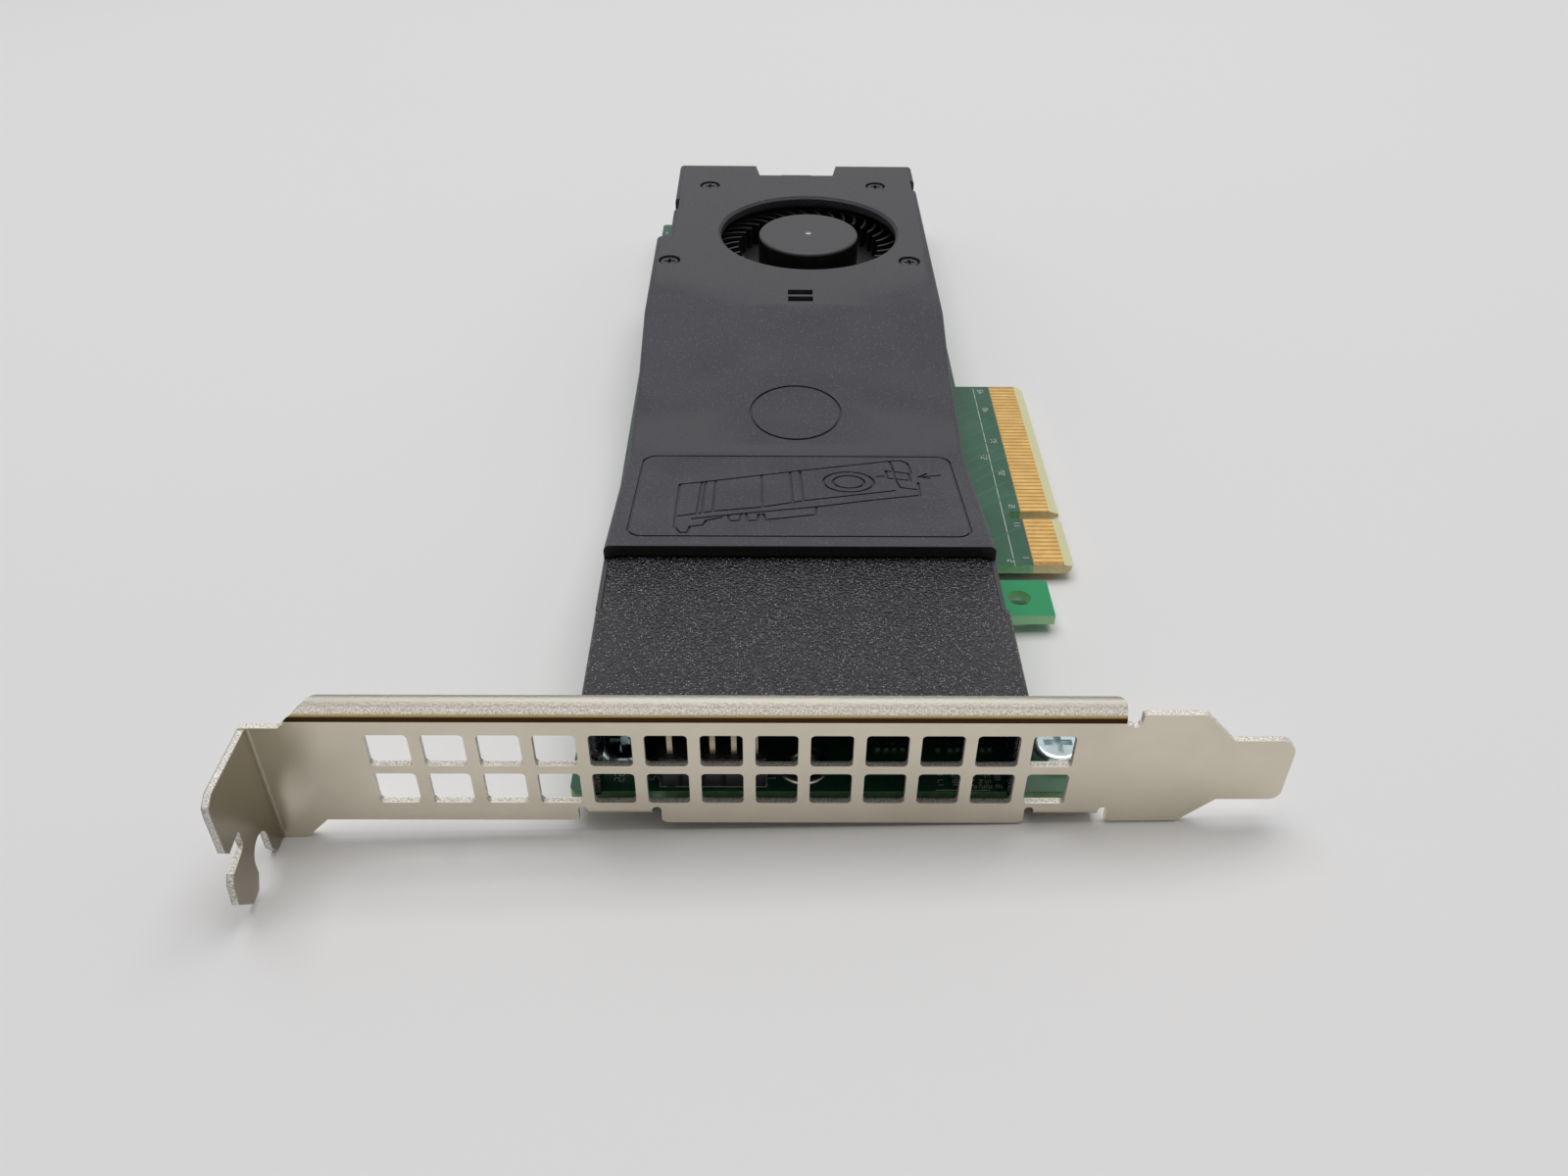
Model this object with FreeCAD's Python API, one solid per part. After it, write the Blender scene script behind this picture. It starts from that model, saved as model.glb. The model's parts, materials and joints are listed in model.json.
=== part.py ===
"""Dual M.2 carrier card for a PCI Express x8 slot.

A half-length, low-profile-height circuit board on a full-height vented bracket.
A clip-on moulded cover carries a blower, which blows along the modules and out
through a fixed outlet duct behind the bracket's windows.

Frame, in millimetres: the origin is on the lower edge of the edge connector, at
the centre of its key slot, on the component side.  +X points out of the card into
the slot, +Y runs from the bracket to the blower end, +Z rises from the components.
"""
import FreeCAD, Part
import math
import os

V = FreeCAD.Vector

# ---------------------------------------------------------------- circuit board
KEY_TO_BRACKET = 59.05          # key centre to the bracket's outer face
BOARD_GAP = 1.90                # bracket's outer face to the board
BOARD_LENGTH = 167.65
BOARD_THICKNESS = 1.57
MAIN_EDGE = 11.9                # lower edge of the board behind the connector's edge
BOARD_SHELF = 3.1               # board's lower edge to the cover
SCREW_EAR_LENGTH = 13.6         # board ear that takes the bracket's screw
EAR_OVERHANG = 5.3              # connector's lower edge to the ear's edge
RETENTION_EAR_LENGTH = 8.0
RETENTION_EAR_CENTRE = 20.25    # key centre to the retention ear's centre
RETENTION_EAR_OVERHANG = 4.85
RETENTION_HOLE_RADIUS = 1.65
RETENTION_HOLE_LINE = 9.4       # connector's lower edge to the retention hole
BOARD_CORNER = 0.8

# ------------------------------------------------------------- edge connector
KEY_WIDTH = 1.90
KEY_DEPTH = 8.25
TAB_SHORT_SIDE = 11.65          # key slot's side to the tab's end
TAB_LONG_SIDE = 38.65
TAB_CORNER = 1.2
EDGE_BEVEL = 0.45
FINGER_PITCH = 1.0
FINGER_WIDTH = 0.70
FINGER_LENGTH = 4.45
FINGER_SETBACK = 1.50
FINGER_THICKNESS = 0.05
SHORT_SIDE_FINGERS = 11
LONG_SIDE_FINGERS = 38
KEY_TO_FINGER = 1.5

# -------------------------------------------------------------------- bracket
SHEET = 0.86
SEAT_TO_EDGE = 103.90           # screw flange's seat to the connector's lower edge
BRACKET_LENGTH = 119.5          # seat to the end of the tongue
BRACKET_LOW = -3.0              # lower edge beside the board tabs
MIDDLE_LOW = -3.45              # lower edge between the board tabs
BRACKET_HIGH = 15.3
STEP_HIGH = 14.75               # upper edge between the fold and the tongue
STEP_CORNER = 0.5
SEAT_END_LOW = -6.05
SEAT_END_HIGH = 12.35
FOLD_START = 4.4                # seat to the stiffening fold, at the face
FOLD_END = 99.25
FOLD_DEPTH = 2.45
FOLD_RADIUS = 2.2
FOLD_END_SLOPE = 0.85           # slant of the fold's far end, per length bent back
FOLD_PLAN_ANGLES = (0.0, 30.0, 60.0)
FOLD_FOOT = 3.6                 # seat to the foot of the slope that leads to the fold
TONGUE_START = 112.0
TONGUE_LOW = 0.85
TONGUE_HIGH = 10.6
TONGUE_CORNER = 2.2
TONGUE_LOW_CORNER = 1.4
TONGUE_LOW_SLANT = 4.05
TONGUE_HIGH_SLANT = 3.85
SEAT_END_SLANT = 3.0
FOLD_NOTCH_WIDTH = 1.75         # bend relief at the end of the fold
FOLD_NOTCH_RADIUS = 0.6
FOLD_NOTCH_FROM_STEP = 0.65     # relief's middle to the step
FOLD_NOTCH_RISE = 0.25          # relief's middle over the start of the bend
FOLD_CORNER = 1.1
BOARD_TAB_CORNER = 1.2
VENT_COLUMNS = 13
VENT_ROWS = 2
VENT_FIRST = 12.87              # seat to the first window
VENT_PITCH = 6.35
VENT_WIDTH = 4.93
VENT_HEIGHT = 4.98
VENT_BOTTOM = 0.05              # lower edge of the lower row
VENT_ROW_PITCH = 6.28
VENT_CORNER = 0.55
BOARD_TAB_LENGTH = 10.6         # reach of each board tab behind the outer face
BOARD_TAB_WIDTH = 7.7
LEFT_SCREW_INSET = 6.1          # board's far long edge to the far screw
TAB_RELIEF = 0.55               # radius of the bend reliefs
BEND_RADIUS = 0.35              # inner radius of the bends
FLANGE_DEPTH = 12.0
FLANGE_SHOULDER = 4.5           # height of the flange's lower shoulder
HOOK_ROOT = 8.2                 # depth at which the hook starts
HOOK_TIP_DEPTH = 13.2
HOOK_TOP = 2.0
HOOK_LOW = -5.2
SLOT_RADIUS = 2.21              # chassis screw slot
SLOT_DEPTH = 5.35               # slot's centre in front of the outer face
SLOT_TOP = 0.0
FLANGE_RISE = 0.7               # flange's highest point over the seat's end
FLANGE_CORNER = 1.6
HOOK_SLANT = 3.1                # slanting end of the hook
HOOK_END = 2.5
HOOK_CORNER = 1.2
EDGE_BREAK = 0.2                # small changes of direction along the outline

# ------------------------------------------------------------- bracket screws
SCREW_SETBACK = 6.1             # board's front edge to the screws
BRACKET_SCREW_LINE = 9.5        # connector's lower edge to the near screw
SCREW_RADIUS = 1.5
SCREW_HEAD_RADIUS = 3.1
SCREW_HEAD_HEIGHT = 2.2
SCREW_LENGTH = 3.4
BOARD_HOLE_RADIUS = 1.65
THREAD_CLEARANCE = 0.02
RECESS_WIDTH = 0.95             # cross recess
RECESS_SPAN = 3.5
RECESS_DEPTH = 1.1
RECESS_LIMIT = 0.7              # deepest recess, as a share of the head's height
HEAD_ROUNDING = 0.35            # rounding of a head's rim, as a share of its height
SCREW_TIP = 0.3                 # chamfer of a screw's end, as a share of its radius
SCREW_PLAY = 0.15               # screw in a plain hole

# ------------------------------------------------------------------ top cover
COVER_FRONT = 32.3              # bracket's outer face to the cover's front edge
COVER_END_INSET = 1.15          # board's end to the cover's end
COVER_INSET = 1.9               # board's far long edge to the cover
COVER_STEP_FROM_FAN = 3.0       # blower's axis to the start of the narrower end
COVER_STEP = 2.4
COVER_WALL = 1.5
COVER_ROOF = 1.6
BLOWER_END_HIGH = 13.8
SLOPE_TOP_FROM_FAN = 33.5
SLOPE_RUN = 14.5                # top of the rear slope to its foot
RIDGE_HIGH = 9.8
VALLEY_AT = 64.0
VALLEY_HIGH = 7.8
FRONT_HIGH = 13.9
COVER_EDGE_RADIUS = 0.9
COVER_SEAT_GAP = 0.15           # cover's walls above the board
INLET_LIP = 1.9                 # impeller's rim to the edge of the inlet
INLET_CHAMFER = 0.5
RIM_NOTCH_WIDTH = 15.4          # notch in the blower end, over the latch
RIM_NOTCH_FLARE = 1.0
RIM_NOTCH_DEPTH = 5.3
LATCH_WIDTH = 6.3
LATCH_THICKNESS = 1.4
LATCH_STANDOFF = 1.7            # notch wall to the latch
LATCH_HIGH = 12.7
LATCH_WEB_HEIGHT = 1.6
LATCH_WEB_AT = 5.0
LATCH_HOOK = 1.3
LATCH_HOOK_HEIGHT = 0.8
LATCH_PLAY = 0.1
LATCH_TIP = 0.3                 # upright part of the hook's tip
LATCH_LEAD = 0.2
BOARD_NOTCH_GAP = 1.0           # latch to the sides of the board's notch
BOARD_NOTCH_RELIEF = 0.4
SIDE_POCKET_LENGTH = 5.4        # pockets in the side walls at the blower end
SIDE_POCKET_DEPTH = 0.9
RIGHT_POCKET_FROM_END = 10.4
LEFT_POCKET_FROM_END = 20.9
ROOF_POCKET_LENGTH = 4.6        # small pocket between blower and slope
ROOF_POCKET_WIDTH = 4.4
ROOF_POCKET_FROM_SLOPE = 5.4
ROOF_POCKET_BAR = 0.7
ROOF_POCKET_DEPTH = 0.9
GROOVE_WIDTH = 0.40
GROOVE_DEPTH = 0.30
GROOVE_OVERRUN = 0.5
RING_RADIUS = 7.2
RING_FROM_VALLEY = 11.0
PANEL_AT = 49.3                 # bracket's outer face to the panel's middle
PANEL_LENGTH = 28.4             # along the card, measured on the sloping face
PANEL_WIDTH = 46.5
PANEL_CORNER = 2.2
PICTURE_BLOWER = (7.5, 4.4)     # across and along the panel, from its middle
PICTURE_BLOWER_RADII = (3.7, 2.3)
PICTURE_STROKES = [             # picture of the cover and how its latch is released
    [(-17.2, 3.2), (-14.0, 4.1), (0.4, 8.5), (14.1, 12.4), (15.9, 12.6), (16.8, 11.5)],
    [(16.8, 11.5), (17.0, 7.7)],
    [(-17.2, 3.2), (-17.1, -7.9)],
    [(-14.0, 4.1), (-14.2, -6.9)],
    [(-13.4, 4.2), (-13.5, -6.7)],
    [(-12.0, 4.6), (-12.0, -6.2)],
    [(-5.3, 6.7), (-5.1, -4.7)],
    [(-1.1, 8.0), (-0.8, -3.6)],
    [(0.4, 8.5), (0.7, -2.5)],
    [(-16.9, -7.9), (-12.0, -6.2), (-5.1, -4.7), (0.7, -2.5), (14.0, 1.2)],
    [(-14.7, -8.7), (-9.8, -7.4), (2.8, -4.5), (10.9, -2.1), (17.5, -0.4), (17.7, 4.1)],
    [(-9.8, -7.4), (-9.6, -9.4), (-8.2, -9.2), (-8.0, -7.1)],
    [(-7.3, -7.0), (-7.2, -9.3), (-5.7, -9.1), (-5.6, -7.2), (-4.9, -7.1)],
    [(-4.9, -7.1), (-4.7, -9.0), (2.4, -7.2), (2.5, -4.8)],
    [(-17.1, -7.9), (-17.0, -11.3), (-16.2, -13.1), (-15.1, -13.1), (-14.9, -11.2)],
    [(-14.9, -11.2), (-13.1, -10.7), (-12.8, -9.3), (-10.7, -8.2)],
    [(14.1, 12.4), (14.4, 9.2), (14.4, 5.3), (14.9, 2.4), (17.3, 1.6)],
    [(13.3, 8.6), (16.6, 7.6), (16.6, 5.0), (13.3, 5.8), (13.3, 8.6)],
    [(11.9, 6.4), (12.8, 6.6)],
    [(18.0, 6.3), (21.2, 6.9)],
    [(19.2, 7.5), (18.0, 6.3), (19.5, 5.8)]]
ARM_THICKNESS = 0.6
ARM_END = 21.8                  # bracket's outer face to the end of the arms
ARM_LOW = 0.8
ARM_HIGH = 11.7

# ---------------------------------------------------------------- outlet duct
DUCT_PROUD = 0.5                # duct's near wall outside the cover's
DUCT_HIGH = 12.0
DUCT_WALL = 1.4
DUCT_ROOF = 1.4
DUCT_FRONT_GAP = 0.35           # bracket's inner face to the duct
DUCT_LAP = 3.0                  # roof's reach under the cover
DUCT_FIT = 0.15
DUCT_EDGE_RADIUS = 0.7
DUCT_SEAT_GAP = 0.05
DUCT_BOSS_RADIUS = 2.4
DUCT_BOSS_AT = 26.3
DUCT_SCREW_RADIUS = 1.1
DUCT_SCREW_HEAD = 2.1
DUCT_SCREW_HEAD_HEIGHT = 1.1
DUCT_SCREW_LENGTH = 6.0
DUCT_SCREW_ROOM = 0.6           # room round the bracket screw in the duct's wall
SCREW_END_ROOM = 0.5            # blind hole beyond a screw's end

# --------------------------------------------------------------------- blower
FAN_FROM_COVER_END = 33.9
BLOWER_SIDE_ROOM = 0.3          # blower to the cover's inner faces
BLOWER_LOW = 4.8
BLOWER_BASE = 0.8
BLOWER_LID = 0.7
BLOWER_WALL = 1.0
BLOWER_TOP_GAP = 0.2            # lid to the cover's roof
LID_PLAY = 0.1                  # lid round the screw posts
BLOWER_THROAT = 5.0             # volute to the outlet's plane
IMPELLER_TIP_GAP = 1.1          # impeller to the volute at its narrowest
VOLUTE_STEP_1 = 1.2
VOLUTE_STEP_2 = 1.6
CUTOFF_OFFSET = 13.0
LID_LIP = 0.9                   # impeller's rim to the edge of the lid's hole
IMPELLER_RADIUS = 18.9
BLADE_LENGTH = 5.3              # impeller's rim to the blades' roots
BLADE_COUNT = 37
BLADE_SWEEP = 15.0              # degrees from root to tip
BLADE_BELLY = 0.35              # share of the sweep reached half-way out
MERGE = 0.1                     # overlap of pieces that are moulded as one
BLADE_ANGLE_THICKNESS = 2.1     # degrees
IMPELLER_FLOOR_GAP = 0.6
IMPELLER_FLOOR = 0.6
IMPELLER_LID_GAP = 0.4
IMPELLER_RIM = 0.5
HUB_RADIUS = 9.65
HUB_HIGH = 13.3
HUB_EDGE_RADIUS = 0.6
HUB_WALL = 0.9
HUB_ROOF = 1.0
HUB_BOSS_LENGTH = 1.0           # boss under the hub's roof that holds the shaft
HUB_BOSS_RADIUS = 2.2
GATE_RADIUS = 0.5               # moulding gate in the middle of the hub
GATE_DEPTH = 0.15
SHAFT_EMBEDDING = 0.4           # shaft's reach into the hub's roof
CUP_WALL = 0.5
CUP_RECESS = 0.1                # cup's lower edge inside the hub
MAGNET_THICKNESS = 0.95
MAGNET_HEIGHT = 3.6
AIR_GAP = 0.3
SHAFT_RADIUS = 1.0
SHAFT_CLEARANCE = 0.02
BEARING_RADIUS = 2.2
BEARING_LENGTH = 4.0
TUBE_WALL = 0.9
THRUST_THICKNESS = 0.15
THRUST_GAP = 0.05
DRIVER_THICKNESS = 0.4
STATOR_HEIGHT = 2.4
STATOR_RAISE = 0.55
STATOR_TEETH = 6
TOOTH_WIDTH = 1.1
TOOTH_SHOE = 0.7
SHOE_WIDTH = 3.3
YOKE_WALL = 0.9
COIL_GAP = 0.05
COIL_THICKNESS = 0.35
EAR_REAR_INSET = 2.8            # volute's side to the screws behind the impeller
EAR_REAR_OFFSET = 2.8           # their middle, from the axis towards the far edge
EAR_REAR_GAP = 3.0              # volute's rear to those screws
EAR_FRONT_OUTSET = 2.3
EAR_FRONT_OFFSET = 3.8
EAR_FRONT_GAP = 6.4             # volute's front to the front screws
EAR_RADIUS = 1.5
EAR_ARM_LENGTH = 9.0
BLOWER_SCREW_RADIUS = 0.8
BLOWER_SCREW_HEAD = 1.7
BLOWER_SCREW_HEAD_HEIGHT = 0.7
BLOWER_SCREW_LENGTH = 5.0
HEAD_RECESS_DEPTH = 0.9
HEAD_RECESS_PLAY = 0.35

# ------------------------------------------------------ module sockets and screws
MODULE_LENGTH = 80.0
MODULE_WIDTH = 22.0
MODULE_PITCH = 24.0
SOCKET_AT = 37.6                # bracket's outer face to the sockets
SOCKET_LENGTH = 8.7
SOCKET_HEIGHT = 4.2
SOCKET_SLOT_LOW = 1.9
SOCKET_SLOT_HEIGHT = 1.0
SOCKET_SLOT_DEPTH = 4.2
SOCKET_END_WALL = 1.0
SOCKET_LEDGE = 0.9              # step along the mouth's upper edge
SOCKET_KEY_AT = 6.1
SOCKET_KEY_WIDTH = 1.2
CONTACT_COUNT = 33
CONTACT_PITCH = 0.5
CONTACT_WIDTH = 0.22
CONTACT_LENGTH = 0.8
CONTACT_THICKNESS = 0.15
STANDOFF_RADIUS = 2.3
STANDOFF_HEIGHT = 2.3
STANDOFF_PEG_RADIUS = 1.4
STANDOFF_PEG_LENGTH = 1.37
MODULE_SCREW_RADIUS = 1.0
MODULE_SCREW_HEAD = 1.9
MODULE_SCREW_HEAD_HEIGHT = 0.9
MODULE_SCREW_LENGTH = 2.0

# ------------------------------------------------------------ small board parts
HEADER_PITCH = 2.54
HEADER_PINS = 5
HEADER_FIRST = 12.1             # board's far long edge to the first pin
HEADER_AT = 3.95                # bracket's outer face to the row of pins
HEADER_BODY = 2.54
HEADER_HEIGHT = 4.6
HEADER_CHAMFER = 0.4
PIN_SIZE = 0.64
PIN_HIGH = 8.6
PIN_CHAMFER = 0.12
PIN_LOW = 1.1                   # pin's reach under the board
PIN_HOLE_RADIUS = 0.52
PAD_FROM_EDGE = 28.1            # bare plated ring beside the header
PAD_AT = 6.15
PAD_RADIUS = 3.25
PAD_HOLE_RADIUS = 1.6
PAD_THICKNESS = 0.06

EPS = 1.0                       # how far a cutter runs past the face it opens
NEAR = 0.01                     # two faces closer than this count as one

# ------------------------------------------------------------- derived places
BOARD_END = BOARD_GAP + BOARD_LENGTH
COVER_END = BOARD_END - COVER_END_INSET
FAN_AT = COVER_END - FAN_FROM_COVER_END
COVER_STEP_AT = FAN_AT - COVER_STEP_FROM_FAN
SLOPE_TOP_AT = FAN_AT - SLOPE_TOP_FROM_FAN
RIDGE_AT = SLOPE_TOP_AT - SLOPE_RUN
RING_AT = VALLEY_AT + RING_FROM_VALLEY
VOLUTE_START = IMPELLER_RADIUS + IMPELLER_TIP_GAP
VOLUTE_GROWTH = 2.0 * VOLUTE_STEP_1 + VOLUTE_STEP_2
BLOWER_WIDTH = 2.0 * (VOLUTE_START + BLOWER_WALL) + VOLUTE_GROWTH
BLOWER_FRONT = VOLUTE_START + BLOWER_THROAT
INLET_RADIUS = IMPELLER_RADIUS - INLET_LIP
LID_HOLE_RADIUS = IMPELLER_RADIUS - LID_LIP
BLADE_ROOT = IMPELLER_RADIUS - BLADE_LENGTH
COVER_WIDTH = BLOWER_WIDTH + 2.0 * (COVER_WALL + BLOWER_SIDE_ROOM) + COVER_STEP
BOARD_WIDTH = MAIN_EDGE + BOARD_SHELF + COVER_WIDTH + COVER_INSET
LEFT_TAB_CENTRE = SEAT_TO_EDGE - BOARD_WIDTH + LEFT_SCREW_INSET
BRACKET_Y = -KEY_TO_BRACKET
BRACKET_INNER_Y = BRACKET_Y + SHEET
FOLD_LOW = BRACKET_HIGH - FOLD_RADIUS
STEP_START = FOLD_END + FOLD_NOTCH_WIDTH
SEAT_X = -SEAT_TO_EDGE
BOARD_Y0 = BRACKET_Y + BOARD_GAP
BOARD_Y1 = BOARD_Y0 + BOARD_LENGTH
BOARD_X0 = -BOARD_WIDTH
COVER_X0 = BOARD_X0 + COVER_INSET
COVER_X1 = COVER_X0 + COVER_WIDTH
COVER_MIDDLE = (COVER_X0 + COVER_X1) / 2.0
COVER_Y0 = BRACKET_Y + COVER_FRONT
COVER_Y1 = BRACKET_Y + COVER_END
STEP_Y = BRACKET_Y + COVER_STEP_AT
NOTCH_Y = COVER_Y1 - RIM_NOTCH_DEPTH
FAN_X = COVER_X1 - COVER_WALL - BLOWER_SIDE_ROOM - BLOWER_WALL - VOLUTE_START
FAN_Y = BRACKET_Y + FAN_AT
ROOF_UNDER = BLOWER_END_HIGH - COVER_ROOF
LID_TOP = ROOF_UNDER - BLOWER_TOP_GAP
LID_LOW = LID_TOP - BLOWER_LID
BASE_TOP = BLOWER_LOW + BLOWER_BASE
SHAFT_TOP = HUB_HIGH - HUB_ROOF + SHAFT_EMBEDDING
SCREW_Y = BOARD_Y0 + SCREW_SETBACK
LEFT_SCREW_X = SEAT_X + LEFT_TAB_CENTRE
RIGHT_TAB_CENTRE = SEAT_TO_EDGE - BRACKET_SCREW_LINE
RIGHT_SCREW_X = SEAT_X + RIGHT_TAB_CENTRE
LATCH_X = COVER_MIDDLE + COVER_STEP / 2.0
LATCH_Y = NOTCH_Y + LATCH_STANDOFF
MODULE_X = [COVER_MIDDLE - MODULE_PITCH / 2.0, COVER_MIDDLE + MODULE_PITCH / 2.0]
SOCKET_Y0 = BRACKET_Y + SOCKET_AT
SOCKET_Y1 = SOCKET_Y0 + SOCKET_LENGTH
STANDOFF_Y = SOCKET_Y1 - SOCKET_SLOT_DEPTH + MODULE_LENGTH
DUCT_X0 = COVER_X0
DUCT_X1 = COVER_X1 + DUCT_PROUD
DUCT_Y0 = BRACKET_INNER_Y + DUCT_FRONT_GAP
DUCT_Y1 = COVER_Y0 - 2.0 * DUCT_FIT
ARM_Y = BRACKET_Y + ARM_END
DUCT_BOSS_Y = BRACKET_Y + DUCT_BOSS_AT
EAR_REAR_X = VOLUTE_START - EAR_REAR_INSET
EAR_FRONT_X = VOLUTE_START + EAR_FRONT_OUTSET
EAR_REAR_Y = FAN_Y + VOLUTE_START + EAR_REAR_GAP
EAR_FRONT_Y = FAN_Y - VOLUTE_START + EAR_FRONT_GAP
EAR_POINTS = [(FAN_X - EAR_REAR_OFFSET - EAR_REAR_X, EAR_REAR_Y),
              (FAN_X - EAR_REAR_OFFSET + EAR_REAR_X, EAR_REAR_Y),
              (FAN_X - EAR_FRONT_OFFSET - EAR_FRONT_X, EAR_FRONT_Y),
              (FAN_X - EAR_FRONT_OFFSET + EAR_FRONT_X, EAR_FRONT_Y)]


# ------------------------------------------------------------------ solid tools
def box(x0, x1, y0, y1, z0, z1):
    return Part.makeBox(x1 - x0, y1 - y0, z1 - z0, V(x0, y0, z0))


def rod(x, y, z0, z1, radius):
    return Part.makeCylinder(radius, z1 - z0, V(x, y, z0))


def tube(x, y, z0, z1, outer, inner):
    return rod(x, y, z0, z1, outer).cut(rod(x, y, z0 - EPS, z1 + EPS, inner))


def cone(x, y, z0, z1, low, high):
    return Part.makeCone(low, high, z1 - z0, V(x, y, z0))


def prism(points, along):
    """Closed polygon of vectors, pushed along a vector."""
    face = Part.Face(Part.makePolygon(points + [points[0]]))
    return face.extrude(along)


def prism_xy(points, z0, z1):
    return prism([V(x, y, z0) for x, y in points], V(0, 0, z1 - z0))


def prism_yz(points, x0, x1):
    return prism([V(x0, y, z) for y, z in points], V(x1 - x0, 0, 0))


def prism_xz(points, y0, y1):
    return prism([V(x, y0, z) for x, z in points], V(0, y1 - y0, 0))


def fuse(shapes):
    return shapes[0].multiFuse(shapes[1:]).removeSplitter()


def cut(shape, cutters):
    return shape.cut(Part.makeCompound(cutters))


def round_edges(shape, radius, wanted):
    """Round each edge whose middle and direction pass the test wanted."""
    edges = []
    for edge in shape.Edges:
        middle = edge.valueAt((edge.FirstParameter + edge.LastParameter) / 2.0)
        ends = [vertex.Point for vertex in edge.Vertexes]
        if len(ends) == 2 and wanted(middle, ends[1].sub(ends[0])):
            edges.append(edge)
    return shape.makeFillet(radius, edges)


def rim_edges(shape, z):
    """Edges that lie wholly at one height."""
    return [edge for edge in shape.Edges
            if abs(edge.BoundBox.ZMin - z) < NEAR and abs(edge.BoundBox.ZMax - z) < NEAR]


def round_plate(x0, x1, y0, y1, z0, z1, radius):
    """Plate with its four upright edges rounded."""
    plate = box(x0, x1, y0, y1, z0, z1)
    return round_edges(plate, radius, lambda middle, way: abs(way.z) > 0.5 * (z1 - z0))


def save(name, *solids):
    shape = solids[0] if len(solids) == 1 else Part.makeCompound(list(solids))
    shape.exportStep("parts/%s.step" % name)


# --------------------------------------------------------------- circuit board
def finger_centres():
    before = [-KEY_TO_FINGER - FINGER_PITCH * i for i in range(SHORT_SIDE_FINGERS)]
    after = [KEY_TO_FINGER + FINGER_PITCH * i for i in range(LONG_SIDE_FINGERS)]
    return sorted(before + after)


def header_pin_places():
    y = BRACKET_Y + HEADER_AT
    return [(BOARD_X0 + HEADER_FIRST + HEADER_PITCH * i, y) for i in range(HEADER_PINS)]


def duct_boss_places():
    inset = DUCT_WALL + DUCT_BOSS_RADIUS / 2.0 + ARM_THICKNESS
    return [(COVER_X0 + inset, DUCT_BOSS_Y), (COVER_X1 - inset, DUCT_BOSS_Y)]


def make_board():
    tab_y0 = -KEY_WIDTH / 2.0 - TAB_SHORT_SIDE
    tab_y1 = KEY_WIDTH / 2.0 + TAB_LONG_SIDE
    low = -BOARD_THICKNESS
    main = round_plate(BOARD_X0, -MAIN_EDGE, BOARD_Y0, BOARD_Y1, low, 0, BOARD_CORNER)
    screw_ear = round_plate(-MAIN_EDGE - EPS, -EAR_OVERHANG, BOARD_Y0,
                            BOARD_Y0 + SCREW_EAR_LENGTH, low, 0, BOARD_CORNER)
    ear_y = -RETENTION_EAR_CENTRE
    retention_ear = box(-MAIN_EDGE - EPS, -RETENTION_EAR_OVERHANG,
                        ear_y - RETENTION_EAR_LENGTH / 2.0,
                        ear_y + RETENTION_EAR_LENGTH / 2.0, low, 0)
    tab = round_edges(box(-MAIN_EDGE - EPS, 0, tab_y0, tab_y1, low, 0), TAB_CORNER,
                      lambda middle, way: abs(way.z) > NEAR and middle.x > -NEAR)
    run = 3.0 * EDGE_BEVEL
    for face, way in ((0.0, -1.0), (low, 1.0)):
        wedge = prism_xz([(-run, face), (EPS, face), (EPS, face + way * EDGE_BEVEL),
                          (0, face + way * EDGE_BEVEL)], tab_y0 - EPS, tab_y1 + EPS)
        tab = tab.cut(wedge)
    key_end = -KEY_DEPTH + KEY_WIDTH / 2.0
    key = fuse([box(key_end, EPS, -KEY_WIDTH / 2.0, KEY_WIDTH / 2.0, low - EPS, EPS),
                rod(key_end, 0, low - EPS, EPS, KEY_WIDTH / 2.0)])
    notch_half = LATCH_WIDTH / 2.0 + BOARD_NOTCH_GAP
    latch_notch = box(LATCH_X - notch_half, LATCH_X + notch_half,
                      LATCH_Y - BOARD_NOTCH_RELIEF, BOARD_Y1 + EPS, low - EPS, EPS)
    holes = [(LEFT_SCREW_X, SCREW_Y, BOARD_HOLE_RADIUS),
             (RIGHT_SCREW_X, SCREW_Y, BOARD_HOLE_RADIUS),
             (-RETENTION_HOLE_LINE, ear_y, RETENTION_HOLE_RADIUS),
             (BOARD_X0 + PAD_FROM_EDGE, BRACKET_Y + PAD_AT, PAD_HOLE_RADIUS)]
    holes += [(x, y, PIN_HOLE_RADIUS) for x, y in header_pin_places()]
    holes += [(x, STANDOFF_Y, STANDOFF_PEG_RADIUS + THREAD_CLEARANCE) for x in MODULE_X]
    holes += [(x, y, DUCT_SCREW_RADIUS + SCREW_PLAY) for x, y in duct_boss_places()]
    cutters = [rod(x, y, low - EPS, EPS, radius) for x, y, radius in holes]
    return cut(fuse([main, screw_ear, retention_ear, tab]), cutters + [key, latch_notch])


def make_fingers(z0):
    x1 = -FINGER_SETBACK
    return [box(x1 - FINGER_LENGTH, x1, y - FINGER_WIDTH / 2.0, y + FINGER_WIDTH / 2.0,
                z0, z0 + FINGER_THICKNESS) for y in finger_centres()]


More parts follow.
